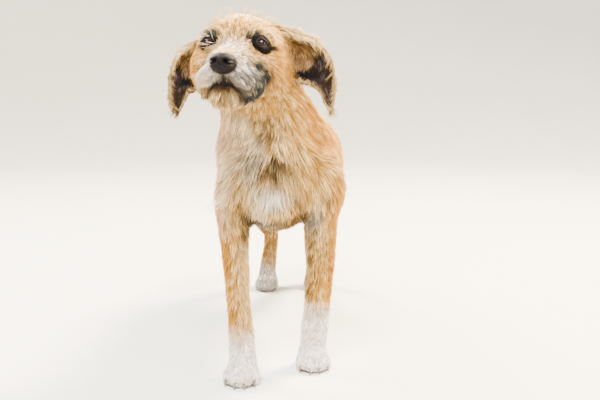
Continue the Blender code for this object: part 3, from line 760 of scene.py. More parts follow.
def mark_trunk(m):
    """A pale breast, paler on its sunlit side as painted light, a dark bib and throat partly of painted
    shade, orange flanks, darker hair along the back and painted shade on the belly.
    """
    k, co = m.kinds, m.co
    nx, ny, nz = m.normals.T
    # the noise is drawn out downwards, as the locks are
    strands = co * (1, 1, 0.25)
    breast = (k.neck + k.chest + 0.6 * k.shoulder) * step(-ny, -0.2, 0.5)
    breast = breast * (1 - 0.85 * step(nx, 0.02, 0.55))
    # painted light: the breast's side that faces the dog's right is paler, as if sunlit, and less streaked
    # with brown
    sunny = step(nx, 0.05, -0.40)
    m.add("white", 0.30 * breast * sunny)
    m.add("cream", breast * (0.50 + 0.50 * sunny + 0.45 * lattice_noise(co * (1, 1, 0.35), 0.012, 17)))
    patch = 1.1 * blob(co, PATCH, (0.018, 0.050, 0.012)) * (1 + 0.4 * m.wobble)
    m.add("white", k.chest * np.clip(patch, 0, 1))
    streaked = step(lattice_noise(co * (1, 1, 0.3), 0.010, 9), 0.0, 0.7)
    m.add("taupe", (k.neck + k.chest) * 0.8 * streaked * (1 - 0.8 * sunny))
    # the bib: taupe hair darkened by painted shade in the middle of the breast
    bib = blob(co, PATCH + (-0.003, 0, 0.046), (0.036, 0.060, 0.034))
    m.add("taupe", 1.2 * k.chest * bib)
    m.add("dark", k.chest * bib * (0.40 + 0.50 * lattice_noise(strands, 0.006, 23)))
    # painted shade on the underside of the chest and belly
    m.add("taupe", 0.95 * k.chest * step(-nz, 0.15, 0.6))
    m.add("dark", 0.55 * k.chest * step(-nz, 0.25, 0.80))
    # the throat: taupe hair and painted shade under the head
    throat = blob(co, PATCH + (-0.004, 0.015, 0.080), (0.022, 0.060, 0.034))
    throat = (k.chest + k.neck) * throat
    m.add("taupe", throat * (0.90 + 0.5 * lattice_noise(strands, 0.006, 19)))
    for place, radii, deep in SHADES:
        shaded = blob(co, PATCH + np.array(place), radii)
        m.add("taupe", 1.2 * shaded)
        m.add("dark", deep * shaded)
    m.add("taupe", 0.45 * (k.chest + k.hindquarters) * np.clip(nz, 0, 1))
    m.add("cream", 0.55 * k.tail * step(co[:, 1], 0.24, 0.32))
    flank = k.neck + k.shoulder + k.chest + 0.6 * k.hindquarters
    m.add("rust", 0.45 * (k.neck + k.shoulder) * step(ny, -0.5, 0.2))
    m.add("rust", 0.85 * flank * step(m.outward, 0.35, 0.85) * step(nz, 0.75, 0.35))


def mark_face(m):
    """The patches of the face, some of them painted shade, a grey muzzle and a slate band partly of painted
    shade, a pale crown, and darker hair along the lips with a painted shadow.
    """
    x, y, z = m.local.T
    for places, patches in ((m.local, FACE), (m.both, FACE_SIDES)):
        for name, amount, place, radii in patches:
            m.add(name, amount * m.head * blob(places, place, radii))
    m.add("white", m.kinds.head * blob(m.both, (0.014, -0.096, -0.026), (0.027, 0.034, 0.021)))
    left_side = 0.15 + 0.85 * (x > 0)
    m.add("grey", 1.3 * m.head * left_side * blob(m.both, (0.028, -0.082, -0.036), (0.020, 0.038, 0.026)))
    m.add("cream", m.head * step(z, 0.034, 0.060) * step(y, -0.058, -0.030))
    # the slate band down the muzzle: dark hair, and painted shade in its crease
    for place, radii, amount in SLATE_AND_CREASE_SHADE:
        strength = 1.15 * amount * (1 - 0.65 * (x < 0))
        m.add("slate", m.head * strength * blob(m.both, place, radii))
    # darker hair along the lips, partly a painted shadow under the upper lip
    lip = bell(z - mouth_height(x), 3.2 * MM)
    m.add("taupe", m.head * 0.8 * lip * step(y, -0.060, -0.075))
    m.add("taupe", 0.75 * m.kinds.lower_jaw)


def mark_eyes(m):
    """Dark hair round each eye, and the bare rims of its lids."""
    for side in (1, -1):
        middle, _, over, up = eye_axes(side)
        away = m.local - middle
        aside, above = away @ over, away @ up
        liner = np.hypot(aside / 0.0118, (above + LID_TILT * aside) * SQUINT[side] ** 0.6 / 0.0100)
        liner = np.where(np.linalg.norm(away, axis=1) < EYE_REACH, liner, FAR)
        m.add("dark", 1.4 * m.head * step(liner, 1.18, 0.92))
        m.add("leather", m.head * step(from_lids(m.local, side), 1.36, 1.22))


def mark_ears(m):
    """Pale fringe and backs, dark lobe, a tan fold near the cheek with shade under it, mottled above."""
    ear, rim, right_side = m.kinds.ear, m.rim, m.local[:, 0] < 0
    _, down, over = ear_map(m.co, ear)
    facing = step(-to_head(HEAD_ARRAY + m.normals)[:, 1], -0.60, -0.20) * (1 - np.clip(1.1 * rim, 0, 1))
    spot = np.stack([over, down, np.zeros_like(over)], 1)
    fold = np.clip(1.3 * facing * blob(spot, (0.24, 0.44, 0), (0.34, 0.12, 1)), 0, 1)
    shade = np.clip(1.3 * facing * blob(spot, (0.34, 0.59, 0), (0.42, 0.060, 1)), 0, 1)
    mottled = facing * step(down, 0.52, 0.36) * (1 - 0.7 * fold)
    m.add("cream", ear * np.maximum(rim, 0.55 * (1 - facing)))
    m.add("taupe", ear * np.maximum(mottled, 0.45 * (1 - facing) * (1 - rim)))
    m.add("pink", 0.85 * ear * fold)
    # on the right ear the fold is browner and darker: brown hair and painted shade beside the cheek
    m.add("taupe", ear * fold * right_side)
    m.add("dark", 0.35 * ear * fold * right_side)
    start = 0.52 - 0.24 * over
    m.add("lobe", ear * step(facing * (1 - fold) * step(down, start - 0.09, start + 0.09), 0.10, 0.60))
    m.add("lobe", 0.65 * ear * mottled * step(lattice_noise(m.co, 0.0055, 8), 0.05, 0.5))
    m.add("dark", ear * shade)


def mark_bare_skin(m):
    """Bare dark skin: lips, the groove under the nose, round the nose, and pads; and a painted shadow under
    the middle of the mouth.
    """
    x, y, z = m.local.T
    middling = bell(x, 0.012)
    below = z - mouth_height(x) + (0.6 + 1.0 * middling) * MM
    lips = m.head * bell(below, (2.6 + 2.6 * middling) * MM)
    front = step(y, -0.055, -0.070)
    # painted shadow under the middle of the line of the lips
    shadow = m.head * middling * bell(below + 4.0 * MM, 2.4 * MM) * front
    m.add("taupe", shadow)
    m.add("dark", 0.45 * shadow)
    m.add("dark", 0.75 * m.head * step(off_nose(m.local), 1.20, 1.08))
    m.add("leather", lips * front * step(np.abs(x), 0.036, 0.028))
    groove = bell(x, 1.5 * MM) * (y < -0.094) * (z < -0.022)
    m.add("leather", m.head * groove * (z > -0.042))
    m.add("leather", m.head * step(off_nose(m.local), 1.07, 0.99))
    m.add("leather", step(m.co[:, 2], 0.007, 0.002) * step(-m.normals[:, 2], 0.3, 0.8))


def markings(co, normals, kinds, rim):
    """Named patches of colour, each from 0 to 1, by place on the dog."""
    m = Marks(co, normals, kinds, rim)
    for mark_region in (mark_legs, mark_trunk, mark_face, mark_eyes, mark_ears, mark_bare_skin):
        mark_region(m)
    return {name: np.clip(value, 0, 1) for name, value in m.values.items()}


MARKS = ("white", "cream", "rust", "slate", "dark", "grey", "taupe", "pink", "lobe", "leather")
# Patches of the face: mark, amount, place and radii in the head's axes. First those of one place.
FACE = [
    ("white", 0.70, (-0.002, -0.068, 0.008), (0.016, 0.024, 0.016)),
    ("grey", 0.60, (0.003, -0.072, 0.006), (0.014, 0.020, 0.012)),
    ("taupe", 0.55, (0.002, -0.046, 0.034), (0.022, 0.022, 0.018)),
    ("rust", 0.60, (0.000, -0.050, 0.036), (0.024, 0.024, 0.014)),
    ("cream", 0.90, (0.000, -0.100, -0.058), (0.024, 0.022, 0.014)),
    ("slate", 0.80, (0.002, -0.108, -0.035), (0.012, 0.014, 0.005)),
    # dark hair and a painted shadow under the upper lip, at the middle of the mouth
    ("dark", 1.10, (0.000, -0.106, -0.040), (0.015, 0.014, 0.004)),
    # painted shade under the left eye
    ("taupe", 0.40, (0.036, -0.048, -0.001), (0.016, 0.014, 0.005)),
    ("slate", 1.50, (0.0235, -0.049, 0.0250), (0.011, 0.014, 0.009)),
    ("slate", 1.50, (-0.0300, -0.049, 0.0245), (0.011, 0.014, 0.009)),
]
# Then those that are the same on both sides, placed on the left one.
FACE_SIDES = [
    ("grey", 0.80, (0.021, -0.084, -0.008), (0.012, 0.020, 0.012)),
    ("cream", 1.00, (0.050, -0.032, 0.030), (0.015, 0.020, 0.012)),
    ("cream", 0.80, (0.050, 0.000, 0.050), (0.018, 0.036, 0.018)),
    ("cream", 0.50, (0.046, -0.046, -0.008), (0.012, 0.016, 0.010)),
    ("rust", 0.85, (0.052, -0.026, -0.006), (0.022, 0.032, 0.032)),
    # dark orange hair and painted shade in the groove where the cheek meets the ear
    ("rust", 1.00, (0.064, 0.004, -0.006), (0.008, 0.022, 0.030)),
    # painted shadow under the cheek
    ("taupe", 0.55, (0.048, -0.042, -0.046), (0.014, 0.026, 0.014)),
    # more painted shade in that groove
    ("taupe", 0.80, (0.064, 0.012, -0.006), (0.007, 0.020, 0.022)),
    ("dark", 1.30, (0.046, -0.036, 0.0125), (0.009, 0.010, 0.004)),
    ("pink", 0.90, (0.021, -0.064, 0.0065), (0.005, 0.007, 0.004)),
]
# The slate band down the side of the muzzle, dark hair and painted shade in its crease: place and radii in
# the head's axes, and strength.
SLATE_AND_CREASE_SHADE = [
    ((0.0330, -0.0610, -0.0170), (0.0080, 0.0150, 0.0085), 1.10),
    ((0.0390, -0.0540, -0.0260), (0.0092, 0.0190, 0.0095), 1.50),
    ((0.0400, -0.0630, -0.0350), (0.0088, 0.0230, 0.0100), 1.50),
    ((0.0350, -0.0690, -0.0455), (0.0098, 0.0220, 0.0085), 1.50),
    ((0.0250, -0.0600, -0.0530), (0.0130, 0.0250, 0.0100), 1.50),
    ((0.0330, -0.0560, -0.0580), (0.0100, 0.0200, 0.0080), 1.30),
]
# Shadowed hair where the legs meet the breast and down their inner edges: place from the middle of the white
# patch, radii, and how dark it is.
SHADES = [
    ((-0.0350, 0.0200, -0.0240), (0.0110, 0.0500, 0.0120), 0.85),
    ((0.0480, 0.0350, -0.0260), (0.0120, 0.0500, 0.0110), 0.35),
    ((-0.0375, 0.0300, -0.0480), (0.0060, 0.0400, 0.0220), 0.50),
    ((0.0560, 0.0400, -0.0440), (0.0060, 0.0400, 0.0160), 0.45),
]
# The middle of the white patch low on the breast.
PATCH = np.array((NOSE_CENTRE.x + 0.051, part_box("chest")[0].y + 0.006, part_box("chest")[0].z + 0.056))


# ---------------------------------------------------------------- materials


class Tree:
    """Short calls for building a node tree."""

    def __init__(self, tree):
        self.tree = tree

    def node(self, kind, inputs=(), **settings):
        made = self.tree.nodes.new(kind)
        for key, value in settings.items():
            setattr(made, key, value)
        for key, value in dict(inputs).items():
            self.put(value, made.inputs[key])
        return made

    def put(self, value, socket):
        """Sets a socket to a number or a colour, or links it to another node's output."""
        if isinstance(value, bpy.types.NodeSocket):
            self.tree.links.new(value, socket)
        else:
            socket.default_value = (*value, 1.0) if isinstance(value, tuple) else value

    def value(self, name):
        return self.node("ShaderNodeAttribute", attribute_name=name).outputs["Fac"]

    def vector(self, name):
        return self.node("ShaderNodeAttribute", attribute_name=name).outputs["Vector"]

    def place(self):
        return self.node("ShaderNodeTexCoord").outputs["Object"]

    def maths(self, operation, a, b, clamp=False):
        return self.node("ShaderNodeMath", {0: a, 1: b}, operation=operation, use_clamp=clamp).outputs[0]

    def times(self, a, b, clamp=False):
        return self.maths("MULTIPLY", a, b, clamp)

    def plus(self, a, b, clamp=False):
        return self.maths("ADD", a, b, clamp)

    def some(self, operation, value, limit, amount):
        """The amount where the value is beyond the limit, and 0 elsewhere."""
        return self.times(self.maths(operation, value, limit), amount)

    def mix(self, factor, a, b, blend="MIX"):
        inputs = {0: factor, 6: a, 7: b}
        return self.node("ShaderNodeMix", inputs, data_type="RGBA", blend_type=blend).outputs[2]

    def noise(self, coordinates, scale, detail=2.0):
        inputs = {"Vector": coordinates, "Scale": scale, "Detail": detail}
        return self.node("ShaderNodeTexNoise", inputs).outputs["Fac"]

    def bump(self, height, strength, distance, shader):
        inputs = {"Height": height, "Strength": strength, "Distance": distance}
        self.put(self.node("ShaderNodeBump", inputs).outputs[0], shader.inputs["Normal"])


# Colours of the hair and skin, in linear light.
TAN = (0.670, 0.345, 0.062)
CREAM = (0.920, 0.680, 0.320)
WHITE = (0.960, 0.920, 0.880)
GREY = (0.062, 0.076, 0.104)
RUST = (0.640, 0.255, 0.008)
TAUPE = (0.150, 0.085, 0.030)
SLATE = (0.032, 0.039, 0.040)
DARK = (0.008, 0.007, 0.008)
PINK = (0.370, 0.210, 0.125)
LOBE = (0.015, 0.011, 0.013)
LILAC = (0.090, 0.068, 0.078)
LEATHER = (0.006, 0.004, 0.004)


def coat_colour_group():
    """The dog's markings as a colour, from the patches kept on skin and coat alike."""
    group = bpy.data.node_groups.new("markings", "ShaderNodeTree")
    group.interface.new_socket("Colour", in_out="OUTPUT", socket_type="NodeSocketColor")
    t = Tree(group)
    out = t.node("NodeGroupOutput")
    root = t.vector("root")
    rnd, lock, along, taupe, grey = (t.value(name) for name in ("rnd", "lock", "along", "taupe", "grey"))
    patches, fine = t.noise(root, 22.0), t.noise(root, 210.0)
    # tan, with paler patches and locks
    pale = t.times(t.maths("SUBTRACT", patches, 0.40, clamp=True), 0.8, clamp=True)
    colour = t.mix(pale, TAN, CREAM)
    colour = t.mix(t.some("GREATER_THAN", lock, 0.68, 0.55), colour, CREAM)
    colour = t.mix(t.times(t.value("cream"), 0.85), colour, CREAM)
    colour = t.mix(t.times(t.value("rust"), 0.80), colour, RUST)
    # brown in some locks, the more the stronger its mark, which is brown hair in some places and painted
    # shade in others
    reach = t.plus(t.times(taupe, 0.65), 0.15)
    streak = t.plus(t.some("LESS_THAN", lock, reach, 0.55), 0.35)
    colour = t.mix(t.times(taupe, streak), colour, TAUPE)
    pied = t.mix(t.some("LESS_THAN", lock, 0.18, 0.25), WHITE, GREY)
    colour = t.mix(t.times(t.value("white"), 0.95), colour, pied)
    streak = t.plus(t.some("LESS_THAN", lock, 0.76, 0.50), 0.40)
    colour = t.mix(t.times(grey, streak), colour, GREY)
    colour = t.mix(t.some("LESS_THAN", rnd, 0.12, 0.40), colour, TAUPE)
    # the ears: a tan fold and a dark lobe with lilac locks
    colour = t.mix(t.times(t.value("pink"), 0.90), colour, PINK)
    lobe = t.mix(t.some("GREATER_THAN", lock, 0.70, 0.75), LOBE, LILAC)
    colour = t.mix(t.times(t.value("lobe"), 0.96), colour, lobe)
    # slate and dark patches, some of them painted shade, and bare skin
    spared = t.maths("SUBTRACT", 1.0, t.some("GREATER_THAN", lock, 0.86, 0.3))
    for name, deep in (("slate", SLATE), ("dark", DARK)):
        amount = t.times(t.value(name), t.plus(fine, 0.65), clamp=True)
        amount = t.times(amount, spared) if name == "slate" else amount
        colour = t.mix(amount, colour, deep)
    colour = t.mix(t.value("leather"), colour, LEATHER)
    # each hair and lock has its tone, and painted shade darkens the hairs towards their roots
    tone = t.plus(t.times(rnd, 0.30), 0.80)
    tone = t.times(tone, t.plus(t.times(lock, 0.54), 0.70))
    level = t.times(tone, t.plus(t.times(along, 0.82), 0.28))
    # white hair stays bright to its roots, spared the painted root shade, apart from the grey of the muzzle
    plain = t.maths("SUBTRACT", t.times(t.value("white"), 0.48), grey, clamp=True)
    level = t.plus(level, t.times(plain, t.maths("SUBTRACT", 1.0, level), clamp=True))
    shade = t.node("ShaderNodeCombineColor", {0: level, 1: level, 2: level}).outputs[0]
    t.put(t.mix(1.0, colour, shade, "MULTIPLY"), out.inputs[0])
    return group


def new_material(name, roughness, **constants):
    """A material, its tree and its shader, with numbers on the shader's own sockets."""
    material = bpy.data.materials.new(name)
    material.use_nodes = True
    shader = material.node_tree.nodes["Principled BSDF"]
    for key, value in dict(constants, Roughness=roughness).items():
        shader.inputs[key.replace("_", " ")].default_value = value
    return material, Tree(material.node_tree), shader


def mottled_material(name, roughness, scale, detail, dark, pale, **constants):
    """A material between two colours by noise: its parts, and the noise for more uses."""
    material, t, shader = new_material(name, roughness, **constants)
    mottle = t.noise(t.place(), scale, detail)
    t.put(t.mix(mottle, dark, pale), shader.inputs["Base Color"])
    return material, t, shader, mottle


def coat_material(group):
    material, t, shader = new_material("coat", 0.70, Specular_IOR_Level=0.04)
    t.put(t.node("ShaderNodeGroup", node_tree=group).outputs[0], shader.inputs["Base Color"])
    return material


def skin_material(group):
    material, t, shader = new_material("skin", 0.80, Specular_IOR_Level=0.10)
    colour = t.node("ShaderNodeGroup", node_tree=group).outputs[0]
    t.put(t.mix(1.0, colour, (0.82, 0.74, 0.70), "MULTIPLY"), shader.inputs["Base Color"])
    t.bump(t.noise(t.vector("root"), 900.0, 3.0), 0.5, 0.6 * MM, shader)
    return material


def nose_material():
    """Leather with darker cracks between its pebbles, and nostrils dull inside and darkened by painted shade.
    """
    material, t, shader = new_material("nose_leather", 0.42, Specular_IOR_Level=0.05)
    place = t.place()
    cells = t.node("ShaderNodeTexVoronoi", {"Vector": place, "Scale": 820.0}, feature="DISTANCE_TO_EDGE")
    pebble = t.times(cells.outputs["Distance"], 3.2, clamp=True)
    mottle = t.noise(place, 160.0, 3.0)
    colour = t.mix(mottle, (0.004, 0.003, 0.004), (0.010, 0.008, 0.009))
    colour = t.mix(pebble, (0.004, 0.003, 0.004), colour)
    # painted shade: the deeper the nostril, the darker the leather
    t.put(t.mix(t.value("deep"), colour, (0.001, 0.001, 0.001)), shader.inputs["Base Color"])
    t.bump(pebble, 0.40, 0.4 * MM, shader)
    rough = t.plus(t.times(mottle, 0.20), 0.36)
    t.put(t.plus(rough, t.times(t.value("deep"), 0.5), clamp=True), shader.inputs["Roughness"])
    return material


def eye_material():
    """Pupil, brown iris with fine rays, dark ring and a little white, by the angle from where it looks."""
    material, t, shader = new_material("eye", 0.05, IOR=1.38, Specular_IOR_Level=0.25)
    ramp = t.node("ShaderNodeValToRGB")
    stops = [
        (0.00, (0.004, 0.003, 0.003)),
        (0.27, (0.004, 0.003, 0.003)),
        (0.31, (0.010, 0.005, 0.004)),
        (0.52, (0.012, 0.006, 0.005)),
        (0.64, (0.008, 0.005, 0.004)),
        (0.74, (0.014, 0.010, 0.009)),
        (0.90, (0.220, 0.170, 0.150)),
    ]
    while len(ramp.color_ramp.elements) < len(stops):
        ramp.color_ramp.elements.new(0.5)
    for element, (place, colour) in zip(ramp.color_ramp.elements, stops):
        element.position = place
        element.color = (*colour, 1.0)
    t.put(t.value("turn"), ramp.inputs["Fac"])
    rays = t.noise(t.vector("around"), 9.0, 4.0)
    rayed = t.mix(t.times(rays, 0.7), ramp.outputs["Color"], (0.010, 0.005, 0.003))
    t.put(rayed, shader.inputs["Base Color"])
    return material


def rim_material():
    dark, pale = (0.004, 0.003, 0.003), (0.013, 0.008, 0.007)
    return mottled_material("lid_rim", 0.50, 700.0, 3.0, dark, pale, Specular_IOR_Level=0.06)[0]


def claw_material():
    dark, pale = (0.030, 0.024, 0.021), (0.130, 0.105, 0.085)
    material, t, shader, wave = mottled_material("claw_horn", 0.42, 420.0, 3.0, dark, pale)
    t.bump(wave, 0.3, 0.3 * MM, shader)
    return material


# ---------------------------------------------------------------- hair

# For hairs of two or three rings: where the rings and then the tip stand, and how thick each ring is.
ALONG = {2: np.array((0.0, 0.50, 1.0)), 3: np.array((0.0, 0.36, 0.72, 1.0))}
THICK = {2: np.array((0.85, 0.92)), 3: np.array((0.80, 1.0, 0.62))}
# The shares of a hair's length at which its markings are taken.
MARKED = (0.15, 0.50, 0.90)
ROOT_DEPTH = 0.5  # mm that a hair's root is let into the skin
HAIR_PATCH = 0.0015  # half the width of a hair's patch on the unwrap


def scattered(mesh, density):
    """Roots by a density per vertex, in hairs to a m²: the triangle's vertices, its loops and its shares."""
    mesh.calc_loop_triangles()
    tris, corners = (read(mesh.loop_triangles, field, 3, np.int32) for field in ("vertices", "loops"))
    co = positions(mesh)
    a, b, c = co[tris[:, 0]], co[tris[:, 1]], co[tris[:, 2]]
    area = np.linalg.norm(np.cross(b - a, c - a), axis=1) / 2
    wanted = area * density[tris].mean(axis=1)
    middle = (a + b + c) / 3
    order = np.argsort(morton(middle))
    edges = np.cumsum(wanted[order])
    marks = np.arange(int(edges[-1])) + RNG.uniform(0, 1, int(edges[-1]))
    chosen = order[np.minimum(np.searchsorted(edges, marks), len(order) - 1)]
    u, v = RNG.uniform(0, 1, (2, len(chosen)))
    over = u + v > 1
    u, v = np.where(over, 1 - u, u), np.where(over, 1 - v, v)
    return tris[chosen], corners[chosen], np.stack([1 - u - v, u, v], 1)


def morton(points):
    """A key that keeps near points near in order."""
    low = points.min(axis=0)
    cells = ((points - low) / (3 * MM)).astype(np.int64)
    key = np.zeros(len(points), np.int64)
    for bit in range(9):
        for axis in range(3):
            key |= ((cells[:, axis] >> bit) & 1) << (3 * bit + axis)
    return key


def blended(values, corners, shares):
    """The values of a triangle's three corners, mixed by its shares."""
    shares = shares if values.ndim == 1 else shares[:, :, None]
    return np.sum(values[corners] * shares, axis=1)


class Hairs:
    """Everything that is known about a set of hairs, one row each."""

    def part(self, chosen):
        made = Hairs()
        for key, value in vars(self).items():
            several = isinstance(value, dict)
            setattr(made, key, {k: v[chosen] for k, v in value.items()} if several else value[chosen])
        return made


def grow(mesh, fields, density):
    """Hairs from roots on the skin, with the skin's fields at them."""
    tris, corners, shares = scattered(mesh, density)
    h = Hairs()
    h.root = blended(fields["co"], tris, shares)
    h.normal = unit(blended(fields["normal"], tris, shares))
    way = blended(fields["way"], tris, shares)
    h.way = unit(laid(way, h.normal))
    h.plan = blended(fields["plan"], tris, shares)
    h.kind = np.argmax(blended(fields["kinds"], tris, shares), axis=1)
    h.marks = {name: blended(value, tris, shares) for name, value in fields["marks"].items()}
    h.free = blended(fields["free"], tris, shares)
    h.uv = blended(read(mesh.uv_layers["OFBake"].uv, "vector", 2), corners, shares)
    h.rnd = RNG.uniform(0, 1, len(h.root))
    return h


def shape_hairs(h, tree, rings):
    """Centre lines of the hairs: they rise, lie over and cling to the body."""
    count = len(h.root)
    plan = h.plan
    patch = lattice_noise(h.root, 0.018, 21)
    length = plan[:, LENGTH] * MM * (0.72 + 0.48 * h.rnd + 0.16 * patch)
    side = np.cross(h.normal, h.way)
    swing = 0.18 * lattice_noise(h.root, 0.013, 5) + RNG.normal(0, 0.15, count)
    way = unit(h.way + side * swing[:, None])
    side = np.cross(h.normal, way)
    lift = np.radians(plan[:, LIFT] * (0.70 + 0.6 * RNG.uniform(0, 1, count)))
    depth = plan[:, DEPTH] * MM
    phase, turns = RNG.uniform(0, 2 * math.pi, count), RNG.uniform(0.4, 0.9, count)
    lines = np.empty((count, rings + 1, 3))
    lines[:, 0] = h.root - h.normal * ROOT_DEPTH * MM
    for k, s in enumerate(ALONG[rings][1:], 1):
        rise = length * np.sin(lift) * (s - 0.42 * s * s) / 0.58
        run = length * np.cos(lift) * s
        wave = plan[:, WAVE] * MM * s * np.sin(phase + 2 * math.pi * turns * s)
        point = h.root + way * run[:, None] + side * wave[:, None]
        near = np.minimum(rise, depth * (0.35 + 0.75 * h.rnd) * s**0.8 + 0.3 * MM)
        lines[:, k] = cling(point, near, rise, h, tree, length)
    return lines


def cling(points, height, rise, h, tree, length):
    """Points set at a height over the nearest skin, less so where the hair stands free of it."""
    made, turned = np.empty_like(points), np.empty_like(points)
    for i, point in enumerate(points):
        place, normal, _, _ = tree.find_nearest(Vector(point))
        made[i], turned[i] = place, normal
    far = np.linalg.norm(made - points, axis=1) > np.maximum(8 * MM, 0.6 * length)
    far |= np.sum(turned * h.normal, axis=1) < -0.2
    made += turned * height[:, None]
    free = points + h.normal * np.where(h.free > 0.3, rise, height)[:, None]
    share = np.where(far, 1.0, h.free)[:, None]
    return made * (1 - share) + free * share


def gather(h, lines, rings):
    """Draws the hairs of each lock towards its leader. Returns a random number for each lock."""
    leaders = np.nonzero(RNG.uniform(0, 1, len(h.root)) < 1.0 / h.plan[:, LOCK])[0]
    tree = KDTree(len(leaders))
    for i, k in enumerate(leaders):
        tree.insert(Vector(h.root[k]), i)
    tree.balance()
    near = np.array([leaders[tree.find(Vector(p))[1]] for p in h.root])
    agree = np.sum(h.normal * h.normal[near], axis=1) > 0.3
    near = np.where(agree, near, np.arange(len(near)))
    apart = np.linalg.norm(h.root - h.root[near], axis=1)
    pull = h.plan[:, GATHER] * (0.55 + 0.6 * h.rnd) * step(apart, 9 * MM, 4 * MM)
    for k, s in enumerate(ALONG[rings][1:], 1):
        share = np.clip(pull * s**1.2, 0, 0.85)[:, None]
        lines[:, k] = lines[:, k] * (1 - share) + lines[near, k] * share
    return RNG.uniform(0, 1, len(h.root))[near]


def strands(name, h, lines, lock, rings, material):
    """One piece of tapered hairs with three sides, each hair closed."""
    count, along, thick = len(lines), ALONG[rings], THICK[rings]
    width = h.plan[:, WIDTH] * MM * (0.75 + 0.5 * RNG.uniform(0, 1, count))
    verts = np.empty((count, rings * 3 + 1, 3))
    for k in range(rings):
        ahead = unit(lines[:, k + 1] - lines[:, max(k - 1, 0)])
        side = unit(np.cross(ahead, h.normal))
        up = np.cross(side, ahead)
        half = (width * thick[k] / 2)[:, None]
        verts[:, 3 * k] = lines[:, k] + side * half
        verts[:, 3 * k + 1] = lines[:, k] + up * half * 0.85
        verts[:, 3 * k + 2] = lines[:, k] - side * half
    verts[:, -1] = lines[:, -1]
    verts[:, :, 2] = np.maximum(verts[:, :, 2], ABOVE_FLOOR)
    faces = []
    for k in range(rings - 1):
        for j in range(3):
            a, b = 3 * k + j, 3 * k + (j + 1) % 3
            faces.append((a, b, b + 3, a + 3))
    last = 3 * (rings - 1)
    for j in range(3):
        faces.append((last + j, last + (j + 1) % 3, 3 * rings))
    faces.append((2, 1, 0))
    per, flat = rings * 3 + 1, np.concatenate([np.array(face) for face in faces])
    loops = (np.arange(count) * per)[:, None] + flat
    sizes = np.array([len(face) for face in faces])
    starts = (np.arange(count) * len(flat))[:, None] + np.concatenate([[0], np.cumsum(sizes)[:-1]])
    mesh = bpy.data.meshes.new(name)
    mesh.vertices.add(count * per)
    mesh.vertices.foreach_set("co", verts.astype(np.float32).ravel())
    mesh.loops.add(loops.size)
    mesh.loops.foreach_set("vertex_index", loops.astype(np.int32).ravel())
    mesh.polygons.add(starts.size)
    mesh.polygons.foreach_set("loop_start", starts.astype(np.int32).ravel())
    smooth_faces(mesh)
    mesh.update(calc_edges=True)
    rows = np.append(np.repeat(along[:rings], 3), 1.0)
    add_values(mesh, "along", np.tile(rows, count))
    add_values(mesh, "rnd", np.repeat(h.rnd, per))
    add_values(mesh, "lock", np.repeat(lock, per))
    add_values(mesh, "root", np.repeat(h.root, per, axis=0))
    # each part of a hair takes the markings of the place that it lies over
    shares = np.stack([np.interp(rows, MARKED, column) for column in np.eye(len(MARKED))])
    for key, value in h.marks.items():
        add_values(mesh, key, (value @ shares).ravel())
    # each hair has a small patch at its root's place on the skin's unwrap
    across = np.append(np.tile((-1.0, 0.0, 1.0), rings), 0.0)
    spot = h.uv[:, None, :] + np.stack([across, rows * 2 - 1], 1)[None] * HAIR_PATCH
    layer = mesh.uv_layers.new(name="OFBake")
    layer.uv.foreach_set("vector", spot.reshape(-1, 2)[loops.ravel()].astype(np.float32).ravel())
    return object_from(name, mesh, material)


# ---------------------------------------------------------------- eyes, nose, lips and claws


def build_eye(name, side, material, rim):
    """An eyeball with a raised cornea, and the dark rims of its lids."""
    middle, look, over, up = eye_axes(side)
    bm = bmesh.new()
    bmesh.ops.create_icosphere(bm, subdivisions=5, radius=1.0)
    mesh = mesh_from_bmesh(bm, f"eyeball_{name}")
    away = unit(positions(mesh))
    turn = np.arccos(np.clip(away[:, 2], -1, 1))
    cornea = 0.075 * step(turn, 0.62, 0.10)
    reach = (EYE_RADIUS - 0.2 * MM) * (1 + cornea)
    set_positions(mesh, from_head(middle + (away * reach[:, None]) @ np.stack([over, up, look])))
    add_values(mesh, "turn", turn / 1.1)
    around = away[:, :2] / np.maximum(np.sin(turn), 0.02)[:, None]
    add_values(mesh, "around", np.column_stack([around, turn * 0.4]))
    smooth_faces(mesh)
    ball = object_from(f"eyeball_{name}", mesh, material)
    loop = []
    for a in round_turns(48):
        across = LID_WIDE * math.cos(a)
        tilt = float(lid_half(across, math.sin(a) > 0)) * math.sin(a)
        rise = (tilt - LID_TILT * across) / SQUINT[side]
        ray = unit(look + over * math.tan(across) + up * math.tan(rise))
        loop.append(from_head(middle + ray * (EYE_RADIUS + 0.35 * MM)))
    return ball, object_from(f"lid_rim_{name}", ring_tube(loop, RIM_RADIUS), rim)


